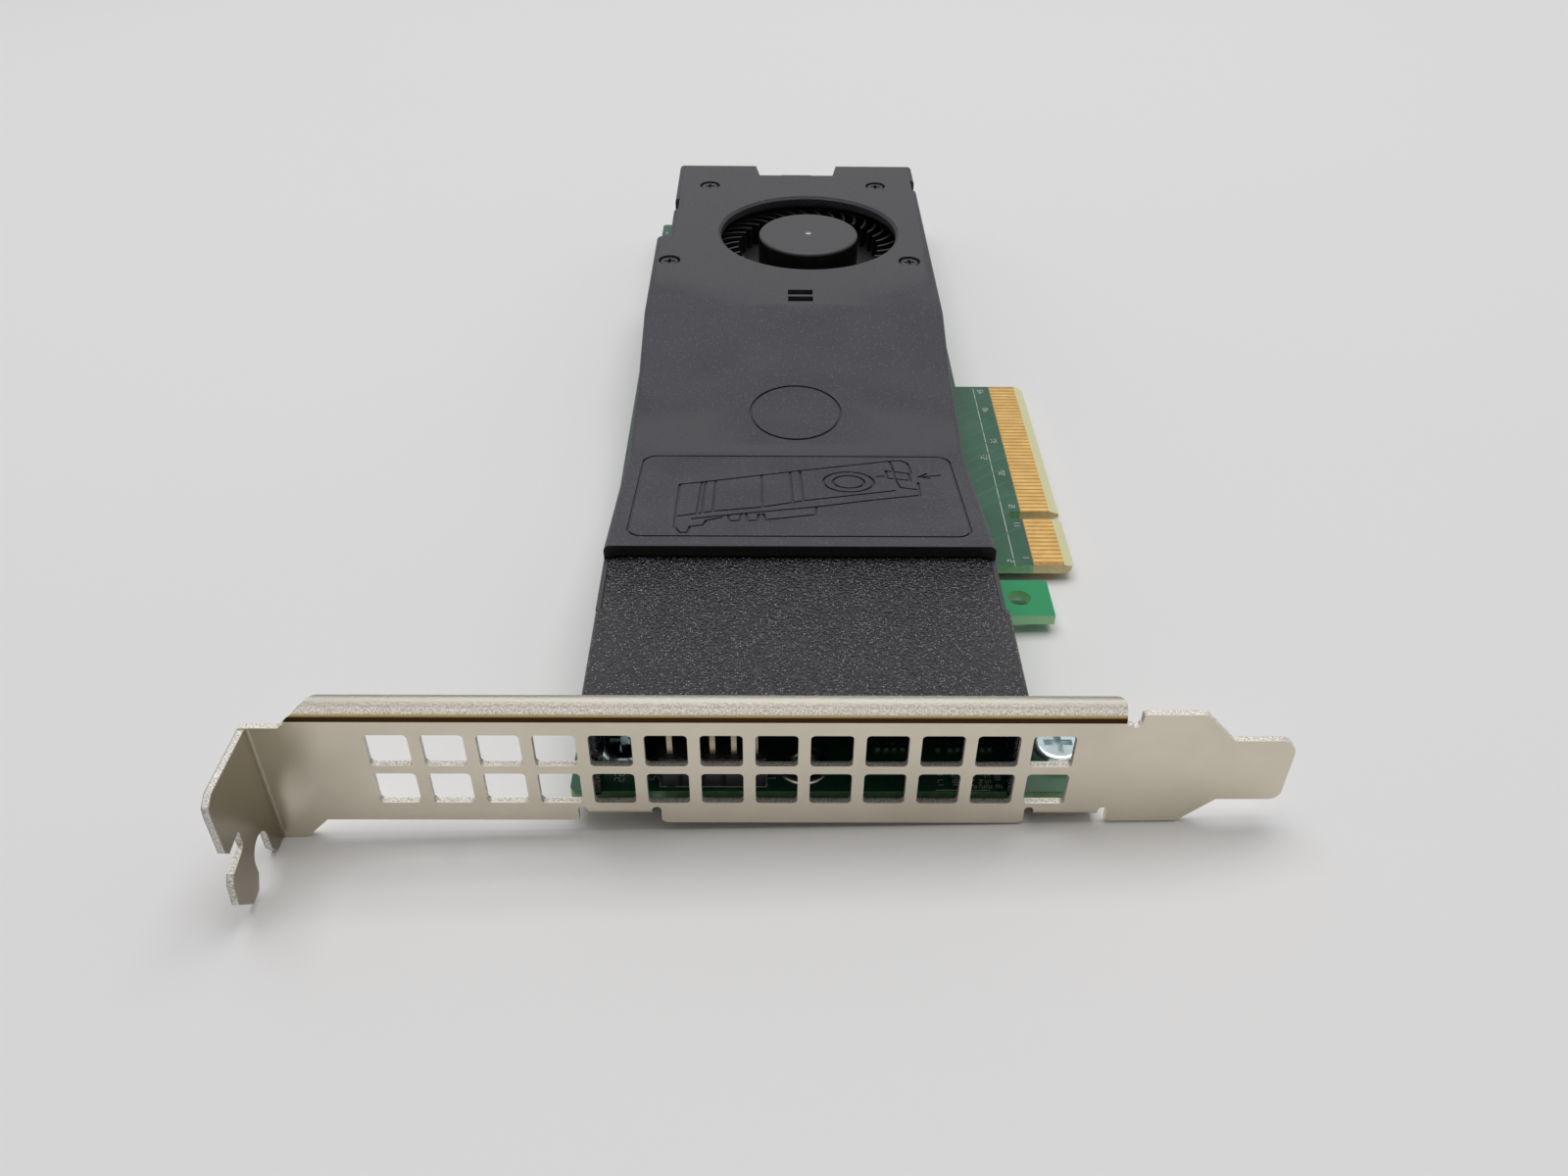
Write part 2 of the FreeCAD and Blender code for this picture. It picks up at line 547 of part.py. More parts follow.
# --------------------------------------------------------------------- bracket
def bracket_outline():
    """Corners of the bracket's face, as distance from the seat and height."""
    half = BOARD_TAB_WIDTH / 2.0
    relief = 2.0 * TAB_RELIEF
    end = BRACKET_LENGTH
    slant = SEAT_END_SLANT
    return [(0, SEAT_END_LOW), (slant, SEAT_END_LOW), (2.0 * slant, BRACKET_LOW),
            (LEFT_TAB_CENTRE - half - relief, BRACKET_LOW),
            (LEFT_TAB_CENTRE + half + relief, BRACKET_LOW),
            (LEFT_TAB_CENTRE + half + 1.5 * relief, MIDDLE_LOW),
            (RIGHT_TAB_CENTRE - half - 1.5 * relief, MIDDLE_LOW),
            (RIGHT_TAB_CENTRE - half - relief, BRACKET_LOW),
            (RIGHT_TAB_CENTRE + half + relief, BRACKET_LOW),
            (TONGUE_START - TONGUE_LOW_SLANT, BRACKET_LOW), (TONGUE_START, TONGUE_LOW),
            (end, TONGUE_LOW), (end, TONGUE_HIGH), (TONGUE_START, TONGUE_HIGH),
            (TONGUE_START - TONGUE_HIGH_SLANT, STEP_HIGH), (STEP_START, STEP_HIGH),
            (STEP_START, FOLD_LOW), (FOLD_START, FOLD_LOW),
            (FOLD_FOOT, SEAT_END_HIGH), (0, SEAT_END_HIGH)]


def fold_plan():
    """Outline of the fold seen from above; its far end slants as the sheet bends."""
    points = []
    for degrees in FOLD_PLAN_ANGLES:
        turn = math.radians(degrees)
        points.append((SEAT_X + FOLD_START + FOLD_END_SLOPE * FOLD_RADIUS * turn,
                       BRACKET_Y + FOLD_RADIUS * (1.0 - math.cos(turn))))
    far = BRACKET_Y + FOLD_DEPTH
    length = FOLD_RADIUS * math.pi / 2.0 + FOLD_DEPTH - FOLD_RADIUS
    points.append((SEAT_X + FOLD_START + FOLD_END_SLOPE * length, far))
    return points + [(SEAT_X + FOLD_END, far), (SEAT_X + FOLD_END, BRACKET_Y)]


def make_fold():
    """Stiffening flange, bent back along the bracket's long upper edge."""
    inner = FOLD_RADIUS - SHEET
    y = BRACKET_Y + FOLD_RADIUS
    far = BRACKET_Y + FOLD_DEPTH
    x0 = SEAT_X + FOLD_START
    x1 = SEAT_X + FOLD_END
    ring = Part.makeCylinder(FOLD_RADIUS, x1 - x0, V(x0, y, FOLD_LOW), V(1, 0, 0))
    ring = ring.cut(Part.makeCylinder(inner, x1 - x0, V(x0, y, FOLD_LOW), V(1, 0, 0)))
    quarter = ring.common(box(x0, x1, BRACKET_Y, y, FOLD_LOW, BRACKET_HIGH))
    lip = box(x0, x1, y, far, BRACKET_HIGH - SHEET, BRACKET_HIGH)
    plan = prism_xy(fold_plan(), FOLD_LOW - EPS, BRACKET_HIGH + EPS)
    plan = round_edges(plan, FOLD_CORNER,
                       lambda middle, way: abs(way.z) > EPS and middle.y > far - NEAR)
    return fuse([quarter, lip]).common(plan)


def make_board_tab(distance):
    """Tab bent under the board, with its screw hole and bend reliefs."""
    outer = BEND_RADIUS + SHEET
    x0 = SEAT_X + distance - BOARD_TAB_WIDTH / 2.0
    x1 = x0 + BOARD_TAB_WIDTH
    y = BRACKET_Y + outer
    z_top = -BOARD_THICKNESS
    z = z_top - SHEET + outer
    ring = Part.makeCylinder(outer, x1 - x0, V(x0, y, z), V(1, 0, 0))
    ring = ring.cut(Part.makeCylinder(BEND_RADIUS, x1 - x0, V(x0, y, z), V(1, 0, 0)))
    bend = ring.common(box(x0, x1, BRACKET_Y, y, z_top - SHEET, z))
    plate = box(x0, x1, y, BRACKET_Y + BOARD_TAB_LENGTH, z_top - SHEET, z_top)
    far = BRACKET_Y + BOARD_TAB_LENGTH
    tab = round_edges(fuse([bend, plate]), BOARD_TAB_CORNER,
                      lambda middle, way: abs(way.z) > 0.5 * SHEET and middle.y > far - NEAR)
    hole = rod(SEAT_X + distance, SCREW_Y, z_top - 2.0 * SHEET, EPS,
               SCREW_RADIUS + THREAD_CLEARANCE)
    return tab.cut(hole)


def flange_outline():
    """Corners of the screw flange, as depth in front of the face and height."""
    slot_far = SLOT_DEPTH - SLOT_RADIUS
    slot_near = SLOT_DEPTH + SLOT_RADIUS
    tip = HOOK_TIP_DEPTH - 2.0 * EDGE_BREAK
    return [(0, SEAT_END_HIGH), (FLANGE_DEPTH - FLANGE_CORNER, SEAT_END_HIGH + FLANGE_RISE),
            (FLANGE_DEPTH - EDGE_BREAK, SEAT_END_HIGH),
            (FLANGE_DEPTH, SEAT_END_HIGH - HOOK_CORNER),
            (FLANGE_DEPTH, FLANGE_SHOULDER + FLANGE_CORNER / 2.0),
            (FLANGE_DEPTH - 3.0 * EDGE_BREAK, FLANGE_SHOULDER),
            (HOOK_ROOT + 2.0 * EDGE_BREAK, FLANGE_SHOULDER + EDGE_BREAK),
            (HOOK_ROOT, FLANGE_SHOULDER - EDGE_BREAK), (HOOK_ROOT, HOOK_TOP + EDGE_BREAK),
            (HOOK_TIP_DEPTH - HOOK_CORNER, HOOK_TOP - EDGE_BREAK), (tip, HOOK_TOP - HOOK_CORNER),
            (HOOK_TIP_DEPTH, HOOK_LOW + HOOK_SLANT), (HOOK_TIP_DEPTH - HOOK_END, HOOK_LOW),
            (slot_near + HOOK_CORNER, HOOK_LOW), (slot_near, HOOK_LOW + FLANGE_CORNER),
            (slot_near, SLOT_TOP - SLOT_RADIUS), (slot_far, SLOT_TOP - SLOT_RADIUS),
            (slot_far, SEAT_END_LOW + FLANGE_CORNER),
            (slot_far - FLANGE_CORNER / 2.0, SEAT_END_LOW + EDGE_BREAK),
            (slot_far - FLANGE_CORNER, SEAT_END_LOW), (0, SEAT_END_LOW)]


def make_bracket():
    face = prism_xz([(SEAT_X + d, z) for d, z in bracket_outline()],
                    BRACKET_Y, BRACKET_INNER_Y)
    for corner_z in (TONGUE_LOW, TONGUE_HIGH):
        radius = TONGUE_CORNER if corner_z == TONGUE_HIGH else TONGUE_LOW_CORNER
        face = round_edges(face, radius, lambda middle, way, z=corner_z: abs(way.y) > 0.5 * SHEET
                           and abs(middle.z - z) < NEAR
                           and abs(middle.x - SEAT_X - BRACKET_LENGTH) < NEAR)
    outer = BEND_RADIUS + SHEET
    z_bend = -BOARD_THICKNESS - SHEET + outer
    cutters = []
    face = round_edges(face, STEP_CORNER, lambda middle, way: abs(way.y) > 0.5 * SHEET
                       and abs(middle.z - STEP_HIGH) < NEAR
                       and abs(middle.x - SEAT_X - STEP_START) < NEAR)
    tabs = [LEFT_TAB_CENTRE, RIGHT_TAB_CENTRE]
    for distance in tabs:
        x0 = SEAT_X + distance - BOARD_TAB_WIDTH / 2.0
        x1 = x0 + BOARD_TAB_WIDTH
        gap = 2.0 * TAB_RELIEF
        cutters.append(box(x0 - gap, x1 + gap, BRACKET_Y - EPS, BRACKET_INNER_Y + EPS,
                           MIDDLE_LOW - EPS, z_bend))
        for x in (x0 - TAB_RELIEF, x1 + TAB_RELIEF):
            cutters.append(Part.makeCylinder(TAB_RELIEF, SHEET + 2.0 * EPS,
                                             V(x, BRACKET_Y - EPS, z_bend), V(0, 1, 0)))
    cutters.append(Part.makeCylinder(FOLD_NOTCH_RADIUS, SHEET + 2.0 * EPS,
                                     V(SEAT_X + STEP_START - FOLD_NOTCH_FROM_STEP,
                                       BRACKET_Y - EPS, FOLD_LOW + FOLD_NOTCH_RISE), V(0, 1, 0)))
    for row in range(VENT_ROWS):
        z0 = VENT_BOTTOM + row * VENT_ROW_PITCH
        for column in range(VENT_COLUMNS):
            x0 = SEAT_X + VENT_FIRST + column * VENT_PITCH
            window = box(x0, x0 + VENT_WIDTH, BRACKET_Y - EPS, BRACKET_INNER_Y + EPS,
                         z0, z0 + VENT_HEIGHT)
            cutters.append(round_edges(window, VENT_CORNER,
                                       lambda middle, way: abs(way.y) > SHEET))
    face = cut(face, cutters)
    flange = prism([V(SEAT_X - SHEET, BRACKET_Y - depth, z) for depth, z in flange_outline()],
                   V(SHEET, 0, 0))
    slot = Part.makeCylinder(SLOT_RADIUS, SHEET + 2.0 * EPS,
                             V(SEAT_X - SHEET - EPS, BRACKET_Y - SLOT_DEPTH,
                               SLOT_TOP - SLOT_RADIUS), V(1, 0, 0))
    flange = flange.cut(slot)
    crease = box(SEAT_X, SEAT_X + BEND_RADIUS, BRACKET_Y - BEND_RADIUS, BRACKET_Y,
                 SEAT_END_LOW, SEAT_END_HIGH)
    crease = crease.cut(rod(SEAT_X + BEND_RADIUS, BRACKET_Y - BEND_RADIUS, SEAT_END_LOW,
                            SEAT_END_HIGH, BEND_RADIUS))
    corner = box(SEAT_X - SHEET, SEAT_X, BRACKET_Y, BRACKET_INNER_Y,
                 SEAT_END_LOW, SEAT_END_HIGH)
    corner = round_edges(corner, SHEET - NEAR,
                         lambda middle, way: abs(way.z) > EPS
                         and middle.x < SEAT_X - 0.5 * SHEET
                         and middle.y > BRACKET_Y + 0.5 * SHEET)
    pieces = [face, make_fold(), flange, crease, corner] + [make_board_tab(d) for d in tabs]
    return fuse(pieces)


# --------------------------------------------------------------------- screws
def pan_screw(x, y, seat, head_radius, head_height, radius, length, way=1.0):
    """Pan-head screw with a cross recess; way is +1 for a head that faces up."""
    head = rod(0, 0, 0, head_height, head_radius)
    head = head.makeFillet(HEAD_ROUNDING * head_height, rim_edges(head, head_height))
    shank = rod(0, 0, -length, 0, radius)
    shank = shank.makeChamfer(SCREW_TIP * radius, rim_edges(shank, -length))
    scale = head_radius / SCREW_HEAD_RADIUS
    span = RECESS_SPAN * scale / 2.0
    half = RECESS_WIDTH * scale / 2.0
    depth = min(RECESS_DEPTH * scale, RECESS_LIMIT * head_height)
    floor = head_height - depth
    arms = [box(-span, span, -half, half, floor, head_height + EPS),
            box(-half, half, -span, span, floor, head_height + EPS)]
    screw = cut(fuse([head, shank]), arms)
    if way < 0:
        screw.rotate(V(0, 0, 0), V(1, 0, 0), 180)
    screw.translate(V(x, y, seat))
    return screw


def bracket_screws():
    return [pan_screw(x, SCREW_Y, 0, SCREW_HEAD_RADIUS, SCREW_HEAD_HEIGHT,
                      SCREW_RADIUS, SCREW_LENGTH) for x in (LEFT_SCREW_X, RIGHT_SCREW_X)]


def blower_screws():
    seat = BLOWER_END_HIGH - HEAD_RECESS_DEPTH
    return [pan_screw(x, y, seat, BLOWER_SCREW_HEAD, BLOWER_SCREW_HEAD_HEIGHT,
                      BLOWER_SCREW_RADIUS, BLOWER_SCREW_LENGTH) for x, y in EAR_POINTS]


def duct_screws():
    return [pan_screw(x, y, -BOARD_THICKNESS, DUCT_SCREW_HEAD, DUCT_SCREW_HEAD_HEIGHT,
                      DUCT_SCREW_RADIUS, DUCT_SCREW_LENGTH, -1.0)
            for x, y in duct_boss_places()]


# ------------------------------------------------------------------- top cover
def roof_line(drop):
    """Cover's side profile from front to blower end, lowered by drop."""
    return [(COVER_Y0, FRONT_HIGH - drop), (BRACKET_Y + VALLEY_AT, VALLEY_HIGH - drop),
            (BRACKET_Y + RIDGE_AT, RIDGE_HIGH - drop),
            (BRACKET_Y + SLOPE_TOP_AT, BLOWER_END_HIGH - drop),
            (COVER_Y1, BLOWER_END_HIGH - drop)]


def slope_frame(at0, z0, at1, z1, at):
    """Origin on a sloping roof face and its unit vectors across, along and out."""
    y0 = BRACKET_Y + at0
    y1 = BRACKET_Y + at1
    along = V(0, y1 - y0, z1 - z0)
    along.normalize()
    share = (at - at0) / (at1 - at0)
    origin = V(COVER_MIDDLE, y0 + share * (y1 - y0), z0 + share * (z1 - z0))
    return origin, V(1, 0, 0), along, V(1, 0, 0).cross(along)


def groove(place, start, end):
    """Straight engraved line between two points given across and along a face."""
    origin, across, along, out = place
    p = origin + across * start[0] + along * start[1]
    q = origin + across * end[0] + along * end[1]
    way = q.sub(p)
    length = way.Length
    way.normalize()
    side = out.cross(way)
    half = GROOVE_WIDTH / 2.0
    base = p - way * half + out * (-GROOVE_DEPTH)
    corners = [base - side * half, base + side * half,
               base + side * half + way * (length + GROOVE_WIDTH),
               base - side * half + way * (length + GROOVE_WIDTH)]
    return prism(corners, out * (GROOVE_DEPTH + GROOVE_OVERRUN))


def ring_groove(place, centre, radius):
    origin, across, along, out = place
    middle = origin + across * centre[0] + along * centre[1] - out * GROOVE_DEPTH
    height = GROOVE_DEPTH + GROOVE_OVERRUN
    outer = Part.makeCylinder(radius + GROOVE_WIDTH / 2.0, height, middle, out)
    return outer.cut(Part.makeCylinder(radius - GROOVE_WIDTH / 2.0, height, middle, out))


def panel_grooves():
    """Rounded frame round the front panel, and the release picture inside it."""
    place = slope_frame(COVER_FRONT, FRONT_HIGH, VALLEY_AT, VALLEY_HIGH, PANEL_AT)
    origin, across, along, out = place
    w = PANEL_WIDTH / 2.0
    h = PANEL_LENGTH / 2.0
    r = PANEL_CORNER
    lines = [((-w + r, -h), (w - r, -h)), ((-w + r, h), (w - r, h)),
             ((-w, -h + r), (-w, h - r)), ((w, -h + r), (w, h - r))]
    cutters = [groove(place, start, end) for start, end in lines]
    for sx in (-1, 1):
        for sy in (-1, 1):
            ring = ring_groove(place, (sx * (w - r), sy * (h - r)), r)
            corner = [(sx * (w - r), sy * (h - r)), (sx * (w + r), sy * (h - r)),
                      (sx * (w + r), sy * (h + r)), (sx * (w - r), sy * (h + r))]
            points = [origin + across * x + along * y - out for x, y in corner]
            cutters.append(ring.common(prism(points, out * (2.0 * EPS))))
    for stroke in PICTURE_STROKES:
        for start, end in zip(stroke, stroke[1:]):
            cutters.append(groove(place, start, end))
    cutters += [ring_groove(place, PICTURE_BLOWER, radius) for radius in PICTURE_BLOWER_RADII]
    return cutters


def make_cover_shell():
    low = COVER_SEAT_GAP
    outline = [(COVER_Y0, low)] + roof_line(0) + [(COVER_Y1, low)]
    shell = prism_yz(outline, COVER_X0, COVER_X1)
    step = box(COVER_X0 - EPS, COVER_X0 + COVER_STEP, STEP_Y, COVER_Y1 + EPS,
               low - EPS, BLOWER_END_HIGH + EPS)
    shell = shell.cut(step)
    sides = (COVER_X0, COVER_X1, COVER_X0 + COVER_STEP)

    def is_roof_edge(middle, way):
        on_side = min(abs(middle.x - x) for x in sides) < NEAR
        return on_side and middle.z > VALLEY_HIGH - NEAR and abs(way.y) > EPS

    return round_edges(shell, COVER_EDGE_RADIUS, is_roof_edge)


def make_cover_hollow():
    low = COVER_SEAT_GAP - EPS
    y_end = COVER_Y1 - COVER_WALL
    x0 = COVER_X0 + COVER_WALL
    x1 = COVER_X1 - COVER_WALL
    line = roof_line(COVER_ROOF)
    rise = (line[0][1] - line[1][1]) / (line[1][0] - line[0][0])
    front = (COVER_Y0 - EPS, line[0][1] + rise * EPS)
    outline = [(front[0], low), front] + line[1:4] + [(y_end, line[4][1]), (y_end, low)]
    hollow = prism_yz(outline, x0, x1)
    step = box(x0 - EPS, x0 + COVER_STEP, STEP_Y - COVER_WALL, COVER_Y1,
               low - EPS, BLOWER_END_HIGH)
    rim = RIM_NOTCH_WIDTH / 2.0 + RIM_NOTCH_FLARE + COVER_WALL
    notch_block = box(LATCH_X - rim, LATCH_X + rim, NOTCH_Y - COVER_WALL, COVER_Y1,
                      low - EPS, BLOWER_END_HIGH)
    return cut(hollow, [step, notch_block])


def make_latch():
    """Snap latch at the blower end; its hook holds the cover under the board."""
    x0 = LATCH_X - LATCH_WIDTH / 2.0
    x1 = LATCH_X + LATCH_WIDTH / 2.0
    under = -BOARD_THICKNESS - LATCH_PLAY
    low = under - LATCH_HOOK_HEIGHT
    profile = [(LATCH_Y, LATCH_HIGH), (LATCH_Y, under), (LATCH_Y - LATCH_HOOK, under),
               (LATCH_Y - LATCH_HOOK, under - LATCH_TIP), (LATCH_Y - LATCH_LEAD, low),
               (LATCH_Y + LATCH_THICKNESS, low), (LATCH_Y + LATCH_THICKNESS, LATCH_HIGH)]
    web = box(x0, x1, NOTCH_Y - EPS / 2.0, LATCH_Y + EPS / 2.0,
              LATCH_WEB_AT, LATCH_WEB_AT + LATCH_WEB_HEIGHT)
    return fuse([prism_yz(profile, x0, x1), web])


def make_arms():
    """Side arms that lap the duct and keep the cover's front end down."""
    arms = []
    for x in (COVER_X0, COVER_X1 - ARM_THICKNESS):
        arm = box(x, x + ARM_THICKNESS, ARM_Y, COVER_Y0 + EPS, ARM_LOW, ARM_HIGH)
        arms.append(arm)
    return arms


def make_cover():
    shell = make_cover_shell().cut(make_cover_hollow())
    half = RIM_NOTCH_WIDTH / 2.0
    flare = half + RIM_NOTCH_FLARE
    notch = prism_xy([(LATCH_X - half, NOTCH_Y), (LATCH_X + half, NOTCH_Y),
                      (LATCH_X + flare, COVER_Y1 + EPS), (LATCH_X - flare, COVER_Y1 + EPS)],
                     COVER_SEAT_GAP - EPS, BLOWER_END_HIGH + EPS)
    roof_cut = BLOWER_END_HIGH - INLET_CHAMFER
    inlet = rod(FAN_X, FAN_Y, ROOF_UNDER - EPS, BLOWER_END_HIGH + EPS, INLET_RADIUS)
    lead_in = cone(FAN_X, FAN_Y, roof_cut, BLOWER_END_HIGH + EPS, INLET_RADIUS,
                   INLET_RADIUS + INLET_CHAMFER + EPS)
    recess = BLOWER_END_HIGH - HEAD_RECESS_DEPTH
    cutters = [notch, inlet, lead_in]
    for x, y in EAR_POINTS:
        cutters.append(rod(x, y, recess, BLOWER_END_HIGH + EPS,
                           BLOWER_SCREW_HEAD + HEAD_RECESS_PLAY))
        cutters.append(rod(x, y, ROOF_UNDER - EPS, BLOWER_END_HIGH,
                           BLOWER_SCREW_RADIUS + SCREW_PLAY))
    pocket = SIDE_POCKET_LENGTH / 2.0
    for x0, from_end in ((COVER_X1 - SIDE_POCKET_DEPTH, RIGHT_POCKET_FROM_END),
                         (COVER_X0 + COVER_STEP - EPS, LEFT_POCKET_FROM_END)):
        y = COVER_Y1 - from_end
        cutters.append(box(x0, x0 + SIDE_POCKET_DEPTH + EPS, y - pocket, y + pocket,
                           BLOWER_LOW, BLOWER_END_HIGH + EPS))
    y = BRACKET_Y + SLOPE_TOP_AT + ROOF_POCKET_FROM_SLOPE
    x = LATCH_X
    reach = ROOF_POCKET_LENGTH / 2.0
    bar = ROOF_POCKET_BAR / 2.0
    for y0, y1 in ((y - reach, y - bar), (y + bar, y + reach)):
        cutters.append(box(x - ROOF_POCKET_WIDTH / 2.0, x + ROOF_POCKET_WIDTH / 2.0, y0, y1,
                           BLOWER_END_HIGH - ROOF_POCKET_DEPTH, BLOWER_END_HIGH + EPS))
    ring_place = slope_frame(VALLEY_AT, VALLEY_HIGH, RIDGE_AT, RIDGE_HIGH, RING_AT)
    cutters.append(ring_groove(ring_place, (0, 0), RING_RADIUS))
    cutters += panel_grooves()
    return fuse([cut(shell, cutters), make_latch()] + make_arms())


# ----------------------------------------------------------------- outlet duct
def make_duct():
    low = DUCT_SEAT_GAP
    body = box(DUCT_X0, DUCT_X1, DUCT_Y0, DUCT_Y1, low, DUCT_HIGH)
    body = round_edges(body, DUCT_EDGE_RADIUS,
                       lambda middle, way: abs(way.y) > EPS and middle.z > DUCT_HIGH - NEAR)
    inside = box(DUCT_X0 + DUCT_WALL + ARM_THICKNESS, DUCT_X1 - DUCT_WALL - ARM_THICKNESS,
                 DUCT_Y0 - EPS, DUCT_Y1 + EPS, low - EPS, DUCT_HIGH - DUCT_ROOF)
    recess_y = ARM_Y - DUCT_FIT
    left_face = COVER_X0 + ARM_THICKNESS + DUCT_FIT
    right_face = COVER_X1 - ARM_THICKNESS - DUCT_FIT
    left_recess = box(DUCT_X0 - EPS, left_face, recess_y, DUCT_Y1 + EPS, low - EPS,
                      DUCT_HIGH + EPS)
    right_recess = box(right_face, DUCT_X1 + EPS, recess_y, DUCT_Y1 + EPS, low - EPS,
                       DUCT_HIGH + EPS)
    screw_gap = SCREW_HEAD_RADIUS + DUCT_SCREW_ROOM
    reliefs = [box(x0, x1, SCREW_Y - screw_gap, SCREW_Y + screw_gap, low - EPS,
                   SCREW_HEAD_HEIGHT + DUCT_SCREW_ROOM)
               for x0, x1 in ((DUCT_X0 - EPS, LEFT_SCREW_X + screw_gap),
                              (RIGHT_SCREW_X - screw_gap, RIGHT_SCREW_X + screw_gap + EPS))]
    bosses = [rod(x, y, low, DUCT_HIGH - DUCT_ROOF + MERGE, DUCT_BOSS_RADIUS)
              for x, y in duct_boss_places()]
    lap_gap = COVER_WALL + DUCT_FIT
    lap = box(COVER_X0 + lap_gap, COVER_X1 - lap_gap, DUCT_Y1 - EPS, COVER_Y0 + DUCT_LAP,
              DUCT_HIGH - DUCT_ROOF, DUCT_HIGH)
    under_cover = prism_yz(lap_clearance(), COVER_X0 - EPS, COVER_X1 + EPS)
    duct = fuse([cut(body, [inside, left_recess, right_recess] + reliefs), lap] + bosses)
    holes = [rod(x, y, low - EPS, DUCT_SCREW_LENGTH - BOARD_THICKNESS + SCREW_END_ROOM,
                 DUCT_SCREW_RADIUS + THREAD_CLEARANCE) for x, y in duct_boss_places()]
    return cut(duct, holes + [under_cover])


def lap_clearance():
    """Space of the cover's sloping roof with its clearance, over the duct's lap."""
    start, end = roof_line(COVER_ROOF + DUCT_FIT)[:2]
    return [start, end, (end[0], FRONT_HIGH + EPS), (start[0], FRONT_HIGH + EPS)]


# --------------------------------------------------------------------- blower
def volute(grow, z0, z1):
    """Spiral chamber of the blower in three arcs, grown outwards by a wall."""
    r0 = VOLUTE_START + grow
    r1 = r0 + VOLUTE_STEP_1
    r2 = r1 + VOLUTE_STEP_2
    x1 = FAN_X - VOLUTE_STEP_1
    y2 = FAN_Y - VOLUTE_STEP_2
    far = 2.0 * r2
    first = rod(FAN_X, FAN_Y, z0, z1, r0)
    second = rod(x1, FAN_Y, z0, z1, r1).common(box(x1, x1 + far, FAN_Y, FAN_Y + far, z0, z1))
    third = rod(x1, y2, z0, z1, r2).common(box(x1 - far, x1, y2, y2 + far, z0, z1))
    return [first, second, third]


def outlet_left():
    return FAN_X - VOLUTE_START - VOLUTE_GROWTH


def blower_plan(z0, z1):
    """Outer outline of the blower: volute arcs behind, straight sides in front."""
    front = FAN_Y - BLOWER_FRONT
    left = outlet_left() - BLOWER_WALL
    right = FAN_X + VOLUTE_START + BLOWER_WALL
    body = box(left, right, front, FAN_Y - VOLUTE_STEP_2, z0, z1)
    return fuse(volute(BLOWER_WALL, z0, z1) + [body])


def make_blower_housing():
    plan = blower_plan(BLOWER_LOW, LID_LOW)
    channel = box(outlet_left(), FAN_X + CUTOFF_OFFSET, FAN_Y - BLOWER_FRONT - EPS,
                  FAN_Y - VOLUTE_STEP_2, BASE_TOP, LID_LOW + EPS)
    hollow = fuse(volute(0, BASE_TOP, LID_LOW + EPS) + [channel])
    housing = plan.cut(hollow)
    ears = []
    for x, y in EAR_POINTS:
        way = V(FAN_X - x, FAN_Y - y, 0)
        way.normalize()
        reach = EAR_ARM_LENGTH
        arm = box(0, reach, -EAR_RADIUS, EAR_RADIUS, BLOWER_LOW, BASE_TOP)
        arm.rotate(V(0, 0, 0), V(0, 0, 1), math.degrees(math.atan2(way.y, way.x)))
        arm.translate(V(x, y, 0))
        ears.append(arm.cut(rod(FAN_X, FAN_Y, BLOWER_LOW - EPS, LID_TOP, VOLUTE_START)))
        ears.append(rod(x, y, BLOWER_LOW, ROOF_UNDER, EAR_RADIUS))
    stem = rod(FAN_X, FAN_Y, BASE_TOP - MERGE, BASE_TOP + THRUST_THICKNESS + BEARING_LENGTH,
               BEARING_RADIUS + TUBE_WALL)
    housing = fuse([housing, stem] + ears)
    screw_low = BLOWER_END_HIGH - HEAD_RECESS_DEPTH - BLOWER_SCREW_LENGTH - SCREW_END_ROOM
    holes = [rod(x, y, screw_low, ROOF_UNDER + EPS, BLOWER_SCREW_RADIUS + THREAD_CLEARANCE)
             for x, y in EAR_POINTS]
    holes.append(rod(FAN_X, FAN_Y, BASE_TOP, LID_TOP, BEARING_RADIUS))
    return cut(housing, holes)


def make_blower_lid():
    plan = blower_plan(LID_LOW, LID_TOP)
    cutters = [rod(FAN_X, FAN_Y, LID_LOW - EPS, LID_TOP + EPS, LID_HOLE_RADIUS)]
    cutters += [rod(x, y, LID_LOW - EPS, LID_TOP + EPS, EAR_RADIUS + LID_PLAY)
                for x, y in EAR_POINTS]
    return cut(plan, cutters)


def make_blade(z0, z1):
    """One forward-curved blade."""
    def point(radius, degrees):
        angle = math.radians(degrees)
        return V(radius * math.cos(angle), radius * math.sin(angle), z0)

    tip = IMPELLER_RADIUS - IMPELLER_RIM / 2.0
    middle = (BLADE_ROOT + tip) / 2.0
    edges = []
    for shift in (0.0, -BLADE_ANGLE_THICKNESS):
        edges.append((point(BLADE_ROOT, shift), point(middle, shift + BLADE_SWEEP * BLADE_BELLY),
                      point(tip, shift + BLADE_SWEEP)))
    front, back = edges
    wire = Part.Wire([Part.Arc(*front).toShape(), Part.makeLine(front[2], back[2]),
                      Part.Arc(*back).toShape(), Part.makeLine(back[0], front[0])])
    return Part.Face(wire).extrude(V(0, 0, z1 - z0))


